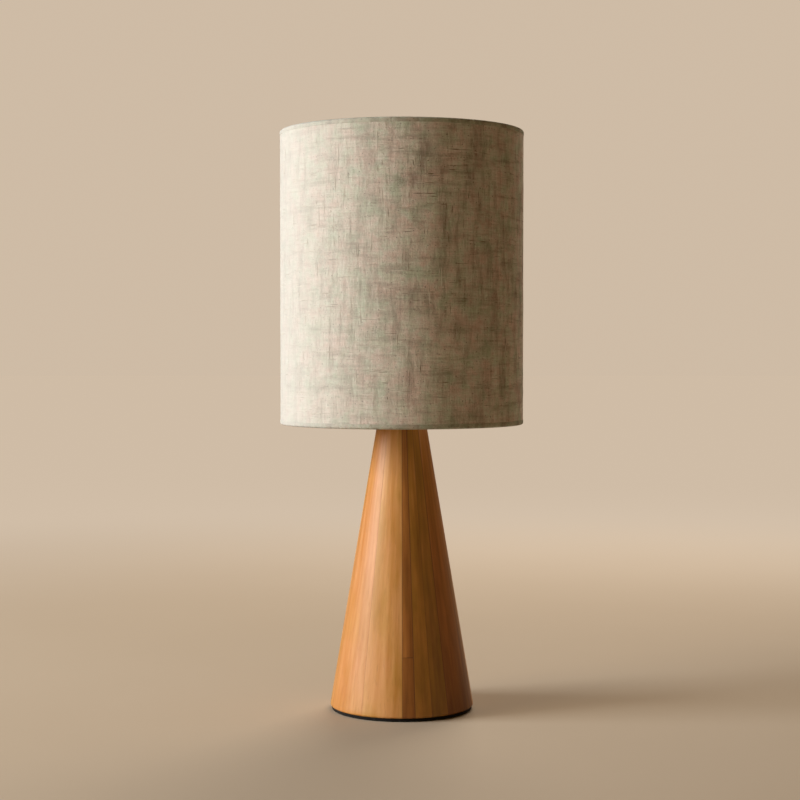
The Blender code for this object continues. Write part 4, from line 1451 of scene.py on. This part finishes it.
    def make_inlet_bush(self, wardrobe: Wardrobe) -> None:
        """Make the flanged bush in the back of the cone."""
        low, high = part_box("inlet_bush")
        flange, length = (high.x - low.x) / 2, high.y - low.y
        bore, body = 3.8 * MM, 5.7 * MM
        shoulder = length - 2 * MM
        outline = [(bore, 0), (body, 0), (body, shoulder), (flange, shoulder), (flange, length), (bore, length)]
        bush = lathe("lead_inlet_bush", softened(outline, 1.1 * MM, 5), 64)
        at = Vector((0, low.y, (low.z + high.z) / 2))
        bush.data.transform(Matrix.Translation(at) @ ALONG_Y)
        mount(bush, Body.BASE, Slot.MOULDING, wardrobe, ["inlet_bush"])

    def build(self, wardrobe: Wardrobe, trees: Trees) -> None:
        """Make every piece of the holder."""
        self.make_brass(wardrobe)
        self.make_cap(wardrobe)
        self.make_skirt(wardrobe, trees)
        self.make_switch(wardrobe)
        self.make_clamp(wardrobe, trees)
        self.make_inlet_bush(wardrobe)


@dataclass
class Bulb:
    """The frosted screw-in bulb."""

    wall: float = 1.5 * MM
    pitch: float = 3.63 * MM
    neck: float = 14.2 * MM

    def make_head(self, wardrobe: Wardrobe) -> None:
        """Make the housing and the diffuser as one smooth pear shape with a parting line."""
        low, high = span("bulb_housing")
        globe_low, globe_top = span("bulb_diffuser")
        radius = 30 * MM
        centre = globe_top - radius
        rim = math.sqrt(radius**2 - (centre - high) ** 2)
        outside = []
        for k in range(25):
            share = k / 24
            swell = share * share * (3 - 2 * share) ** 0.6
            outside.append((self.neck + (rim - self.neck) * swell, low + (high - low) * share))
        inside = [(r - self.wall, z) for r, z in reversed(outside)]
        body = lathe("bulb_body", outside + inside, 96, 50.0)
        mount(body, Body.BULB_TURN, Slot.WHITE, wardrobe, ["bulb_housing"])
        start = math.asin((globe_low - centre) / radius)
        angles = [start + (math.pi / 2 - start) * k / 30 for k in range(31)]
        outer = [(radius * math.cos(a), centre + radius * math.sin(a)) for a in angles[:-1]]
        outer.append((0.0, globe_top))
        inner_radius = radius - self.wall
        inner = [(0.0, globe_top - self.wall)]
        inner += [(inner_radius * math.cos(a), centre + inner_radius * math.sin(a)) for a in angles[-2::-1]]
        dome = lathe("bulb_dome", outer + inner, 96, 50.0)
        mount(dome, Body.BULB_TURN, Slot.OPAL, wardrobe, ["bulb_diffuser"])

    def make_foot(self, wardrobe: Wardrobe) -> None:
        """Make the rolled cap, the insulator and the contact."""
        low, high = span("bulb_cap")
        cap = rolled_tube("bulb_rolled_cap", 12.62 * MM, 0.4 * MM, low, high, self.pitch, 0.42 * MM)
        mount(cap, Body.BULB_TURN, Slot.NICKEL, wardrobe, ["bulb_cap"])
        low, high = span("bulb_insulator")
        outline = [(0, low), (5.2 * MM, low), (11.4 * MM, high), (0, high)]
        insulator = lathe("bulb_glass_insulator", softened(outline, MM), 64)
        mount(insulator, Body.BULB_LIFT, Slot.MOULDING, wardrobe, ["bulb_insulator"])
        low, high = span("bulb_contact")
        outline = [(0, low), (4.2 * MM, low), (4.2 * MM, high), (0, high)]
        contact = lathe("bulb_foot_contact", softened(outline, 0.9 * MM), 48)
        mount(contact, Body.BULB_LIFT, Slot.ZINC, wardrobe, ["bulb_contact"])

    def build(self, wardrobe: Wardrobe) -> None:
        """Make the bulb."""
        self.make_head(wardrobe)
        self.make_foot(wardrobe)


# ---------------------------------------------------------------- shade


@dataclass
class DrumShade:
    """The linen drum: cover, bound rims, slubs, liner and the fitter that carries it."""

    cloth: float = 0.6 * MM
    hem_depth: float = 8 * MM
    hem_bore: float = 119.5 * MM
    tape_depth: float = 4.6 * MM
    tape: float = 0.35 * MM
    lap: float = 5 * MM
    lap_rise: float = 0.45 * MM
    columns: int = 300
    row_step: float = 4 * MM
    arm_radius: float = 2 * MM
    rim_round: float = 1.6 * MM
    rim_steps: int = 12
    least_slub: tuple[float, float, float] = (1.5 * MM, 0.16 * MM, 0.08 * MM)
    radius: float = field(default_factory=lambda: reach("shade_linen"))
    low: float = field(default_factory=lambda: span("shade_linen")[0])
    high: float = field(default_factory=lambda: span("shade_linen")[1])

    def turns(self) -> list[float]:
        """Column angles round the drum, from the lap's edge at the back, closer together there."""
        start = math.pi + self.lap / self.radius
        found = {round(TURN * i / self.columns, 6) for i in range(self.columns)}
        for distance in (0.4, 0.8, 9.2, 9.6, 10.0, 10.4):
            found.add(round(TURN - distance * MM / self.radius, 6))
        return [start + turn for turn in sorted(found)]

    def lift(self, turn: float) -> float:
        """How far the glued lap stands proud at a column, falling off sharply at its free edge."""
        behind = (math.pi + self.lap / self.radius + TURN - turn) * self.radius
        near = min(1.0, behind / (0.4 * MM))
        far = min(1.0, max(0.0, (10.4 * MM - behind) / (0.8 * MM)))
        return self.lap_rise * near * far

    def wrap(self, name: str, outline: Outline, lift: Callable[[float], float] | None = None) -> Piece:
        """Turn a closed outline round the drum with a cloth map in metres.

        Args:
            name: the piece's name.
            outline: the closed (radius, z) outline.
            lift: extra radius for each column, for the outline's outermost points.

        Returns:
            The piece, with its map named cloth.
        """
        turns = self.turns()
        lengths = [0.0]
        for (r0, z0), (r1, z1) in zip(outline, outline[1:] + outline[:1]):
            lengths.append(lengths[-1] + math.hypot(r1 - r0, z1 - z0))
        bm = bmesh.new()
        cloth = bm.loops.layers.uv.new("cloth")
        rings = []
        for r, z in outline:
            ring = []
            for turn in turns:
                extra = lift(turn) if lift and r > self.radius - 0.1 * MM else 0.0
                ring.append(bm.verts.new(round_point(r + extra, turn, z)))
            rings.append(ring)
        for row in range(len(outline)):
            low, high = rings[row], rings[(row + 1) % len(outline)]
            for i in range(len(turns)):
                j = (i + 1) % len(turns)
                face = bm.faces.new((low[i], low[j], high[j], high[i]))
                first, last = turns[i] - turns[0], (turns[j] if j else turns[0] + TURN) - turns[0]
                below, above = lengths[row], lengths[row + 1]
                corners = ((first, below), (last, below), (last, above), (first, above))
                for loop, (turn, along) in zip(face.loops, corners):
                    loop[cloth].uv = (turn * self.radius, along)
        return finish_mesh(name, bm, 50.0)

    def cover_outline(self) -> Outline:
        """The cloth's section: pocket, turned hem, rolled edge and outer wall at both ends."""
        wall, pocket = self.radius - self.cloth, self.hem_bore + self.cloth
        turned = [(pocket, self.hem_depth), (pocket, self.cloth), (wall, self.cloth)]
        roll = []
        middle, half = (self.radius + self.hem_bore) / 2, (self.radius - self.hem_bore) / 2
        for k in range(self.rim_steps + 1):
            angle = math.pi * k / self.rim_steps
            roll.append((middle - half * math.cos(angle), self.rim_round * (1 - math.sin(angle))))
        low = [(r, self.low + z) for r, z in turned[::-1] + [(self.hem_bore, self.hem_depth)] + roll]
        high = [(r, self.high - z) for r, z in turned[::-1] + [(self.hem_bore, self.hem_depth)] + roll]
        count = round((self.high - self.low) / self.row_step)
        wall_rows = [(self.radius, self.low + (self.high - self.low) * k / count) for k in range(1, count)]
        return low + wall_rows + high[::-1]

    def tape_outline(self, edge: float, inward: float) -> Outline:
        """The section of the binding tape folded over a rim."""
        middle, half = (self.radius + self.hem_bore) / 2, (self.radius - self.hem_bore) / 2
        outer, inner = [], []
        for k in range(self.rim_steps + 1):
            angle = math.pi * k / self.rim_steps
            for found, grow in ((outer, self.tape), (inner, 0.03 * MM)):
                drop = self.rim_round - (self.rim_round + grow) * math.sin(angle)
                found.append((middle + (half + grow) * math.cos(angle), edge + inward * drop))
        ends = edge + inward * self.tape_depth
        first = [(outer[0][0] - 0.1 * MM, ends), (outer[0][0], ends - inward * 0.3 * MM)]
        last = [(outer[-1][0], ends), (inner[-1][0], ends)]
        return first + outer + last + inner[::-1] + [(inner[0][0], ends)]

    def make_cloth(self, wardrobe: Wardrobe, trees: Trees) -> None:
        cover = self.wrap("linen_cover", self.cover_outline(), self.lift)
        mount(cover, Body.SHADE, Slot.LINEN, wardrobe, ["shade_linen"])
        for name, edge, inward in (("rim_tape_bottom", self.low, 1), ("rim_tape_top", self.high, -1)):
            tape = self.wrap(name, self.tape_outline(edge, inward), self.lift)
            mount(tape, Body.SHADE, Slot.TAPE, wardrobe)
        middle, height = (self.low + self.high) / 2, self.high - self.low
        common = {
            "Width": TURN * self.radius,
            "Middle": middle,
            "Drum Radius": self.radius,
            "Smallest": self.least_slub,
            "Finish": wardrobe.get(Slot.YARN),
        }
        weft = {"Density": 3000.0, "Height": height - 16 * MM, "Turn": 0.0, "Seed": 5}
        warp = {"Density": 2400.0, "Height": height - 34 * MM, "Turn": math.pi / 2, "Seed": 11}
        weft["Largest"] = (13 * MM, 0.5 * MM, 0.24 * MM)
        warp["Largest"] = (12 * MM, 0.42 * MM, 0.2 * MM)
        for name, values in (("weft_slubs", weft), ("warp_slubs", warp)):
            slubs = bake_tree(name, trees.slubs, common | values)
            mount(slubs, Body.SHADE, Slot.YARN, wardrobe)

    def make_liner(self, wardrobe: Wardrobe) -> None:
        """Make the stiff film inside the linen."""
        low, high = span("shade_liner")
        outer = reach("shade_liner")
        outline = [(outer - 0.4 * MM, low), (outer, low), (outer, high), (outer - 0.4 * MM, high)]
        mount(lathe("stiff_liner", outline, 180), Body.SHADE, Slot.LINER, wardrobe, ["shade_liner"])

    def make_fitter(self, wardrobe: Wardrobe, trees: Trees) -> None:
        """Make the fitter ring and its three bent arms."""
        low, high = span("fitter_ring")
        inner, outer = 20.6 * MM, reach("fitter_ring")
        outline = [(inner, low), (outer, low), (outer, high), (inner, high)]
        plate = lathe("fitter_plate", softened(outline, 0.5 * MM), 96)
        mount(plate, Body.SHADE, Slot.ENAMEL, wardrobe, ["fitter_ring"])
        arm_low, arm_high = span("spider_arm_1")
        end = -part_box("spider_arm_1")[0].y
        low_z, high_z = arm_low + self.arm_radius, arm_high - self.arm_radius
        route = [
            (end, low_z),
            (end - 11 * MM, low_z),
            (outer + 11 * MM, high_z),
            (outer - 2 * MM, high_z),
        ]
        for k in range(3):
            turn = TURN * k / 3
            points = [round_point(r, turn, z) for r, z in route]
            values = {"Radius": self.arm_radius, "Bend": 12 * MM, "Finish": wardrobe.get(Slot.ENAMEL)}
            arm = bake_tree(f"fitter_arm_{k + 1}", trees.rod, values, 50.0, points)
            mount(arm, Body.SHADE, Slot.ENAMEL, wardrobe, [f"spider_arm_{k + 1}"])

    def build(self, wardrobe: Wardrobe, trees: Trees) -> None:
        """Make the whole shade."""
        self.make_cloth(wardrobe, trees)
        self.make_liner(wardrobe)
        self.make_fitter(wardrobe, trees)


# ---------------------------------------------------------------- frame pieces and studio


def dress_frame(wardrobe: Wardrobe) -> None:
    """Give every frame node that still shows its own finish."""
    slots = {slot.label: slot for slot in reversed(Slot)}
    for row in frame["record"]["subparts"]:
        node = frame["nodes"][row["node"]]
        node.data.materials.clear()
        node.data.materials.append(wardrobe.get(slots[row["material_slot"]]))


@dataclass
class Studio:
    """Camera, floor and soft light."""

    aside: float = -0.0018
    distance: float = 1.814
    height: float = 0.3757
    pitch: float = 1.776
    lens: float = 79.0
    sensor: float = 36.0
    floor_half: float = 20.0
    floor_gap: float = 0.2 * MM
    floor_fade: tuple[float, float] = (0.5, 2.2)
    backdrop: Colour = (0.62, 0.50, 0.38)

    def place_camera(self) -> None:
        """Put the camera in front of the lamp."""
        data = bpy.data.cameras.new("studio_camera")
        data.lens = self.lens
        data.sensor_width = self.sensor
        camera = bpy.data.objects.new("studio_camera", data)
        camera.location = (self.aside, -self.distance, self.height)
        camera.rotation_euler = (math.radians(90 - self.pitch), 0.0, 0.0)
        bpy.context.scene.collection.objects.link(camera)
        bpy.context.scene.camera = camera

    def lay_floor(self) -> None:
        """Lay a plain pale floor."""
        bm = bmesh.new()
        half = self.floor_half
        corners = ((-half, -half), (half, -half), (half, half), (-half, half))
        bm.faces.new([bm.verts.new((x, y, -self.floor_gap)) for x, y in corners])
        floor = finish_mesh("studio_floor", bm)
        if floor.data.polygons[0].normal.z < 0:
            floor.data.flip_normals()
        made, graph, shader = start_material("studio_floor")
        place = graph.node("ShaderNodeTexCoord").outputs["Object"]
        seen = graph.node("ShaderNodeLightPath").outputs["Is Camera Ray"]
        away = graph.node("ShaderNodeVectorMath", {0: place}, operation="LENGTH").outputs["Value"]
        glare_and_backdrop_fade = graph.math("MULTIPLY", graph.smooth(away, *self.floor_fade), seen)
        colour = graph.mix(graph.noise(place, 2.0, 3.0), (0.47, 0.39, 0.30), (0.51, 0.43, 0.34))
        graph.tree.links.new(graph.mix(glare_and_backdrop_fade, colour, (0.0, 0.0, 0.0)), shader.inputs["Base Color"])
        glow = graph.mix(glare_and_backdrop_fade, (0.0, 0.0, 0.0), self.backdrop)
        graph.tree.links.new(glow, shader.inputs["Emission Color"])
        under = graph.node("ShaderNodeNewGeometry").outputs["Backfacing"]
        clear = graph.math("MULTIPLY", under, seen)
        graph.tree.links.new(graph.math("SUBTRACT", 1.0, clear), shader.inputs["Alpha"])
        set_values(shader, {"Roughness": 0.85, "Emission Strength": 1.0, "Specular IOR Level": 0.2})
        floor.data.materials.append(made)

    def add_light(
        self, name: str, azimuth: float, height: float, away: float, size: float, watts: float, colour: Colour
    ) -> None:
        """Hang one soft panel that faces the lamp.

        Args:
            name: the light's name.
            azimuth: degrees round the lamp, 0 at the camera and positive to its left.
            height: height above the floor.
            away: horizontal distance from the lamp.
            size: the panel's side.
            watts: its power.
            colour: its colour.
        """
        data = bpy.data.lights.new(name, "AREA")
        data.size = size
        data.energy = watts
        data.color = colour
        light = bpy.data.objects.new(name, data)
        turn = math.radians(azimuth)
        light.location = (-away * math.sin(turn), -away * math.cos(turn), height)
        aim = Vector((0, 0, 0.3)) - light.location
        light.rotation_euler = aim.to_track_quat("-Z", "Y").to_euler()
        bpy.context.scene.collection.objects.link(light)

    def build(self) -> None:
        """Set up the studio."""
        self.place_camera()
        self.lay_floor()
        self.add_light("key_panel", 80, 1.2, 3.0, 1.5, 106.0, (0.95, 0.985, 1.0))
        self.add_light("side_panel", 62, 1.2, 3.0, 1.5, 38.0, (1.0, 0.82, 0.60))
        self.add_light("back_panel", 196, 1.5, 2.2, 1.6, 44.0, (1.0, 0.86, 0.70))
        self.add_light("low_panel", -62, 0.15, 2.4, 1.2, 2.6, (1.0, 0.62, 0.28))
        self.light_world()

    def light_world(self) -> None:
        """Surround the studio with weak warm light behind a plain pale view."""
        world = bpy.data.worlds.new("studio_world")
        world.use_nodes = True
        graph = Graph(world.node_tree)
        seen = graph.node("ShaderNodeLightPath").outputs["Is Camera Ray"]
        colour = graph.mix(seen, (0.100, 0.061, 0.026), self.backdrop)
        graph.tree.links.new(colour, world.node_tree.nodes["Background"].inputs["Color"])
        bpy.context.scene.world = world
        bpy.context.scene.view_settings.view_transform = "Standard"


def main() -> None:
    """Build the lamp and the studio, in order."""
    logging.basicConfig(level=logging.INFO, format="%(name)s: %(message)s")
    Studio().build()
    wardrobe = Wardrobe()
    trees = Trees()
    dress_frame(wardrobe)
    WoodenCone().build(wardrobe)
    Foot().build(wardrobe)
    Lampholder().build(wardrobe, trees)
    Bulb().build(wardrobe)
    DrumShade().build(wardrobe, trees)


if __name__ == "__main__":
    main()
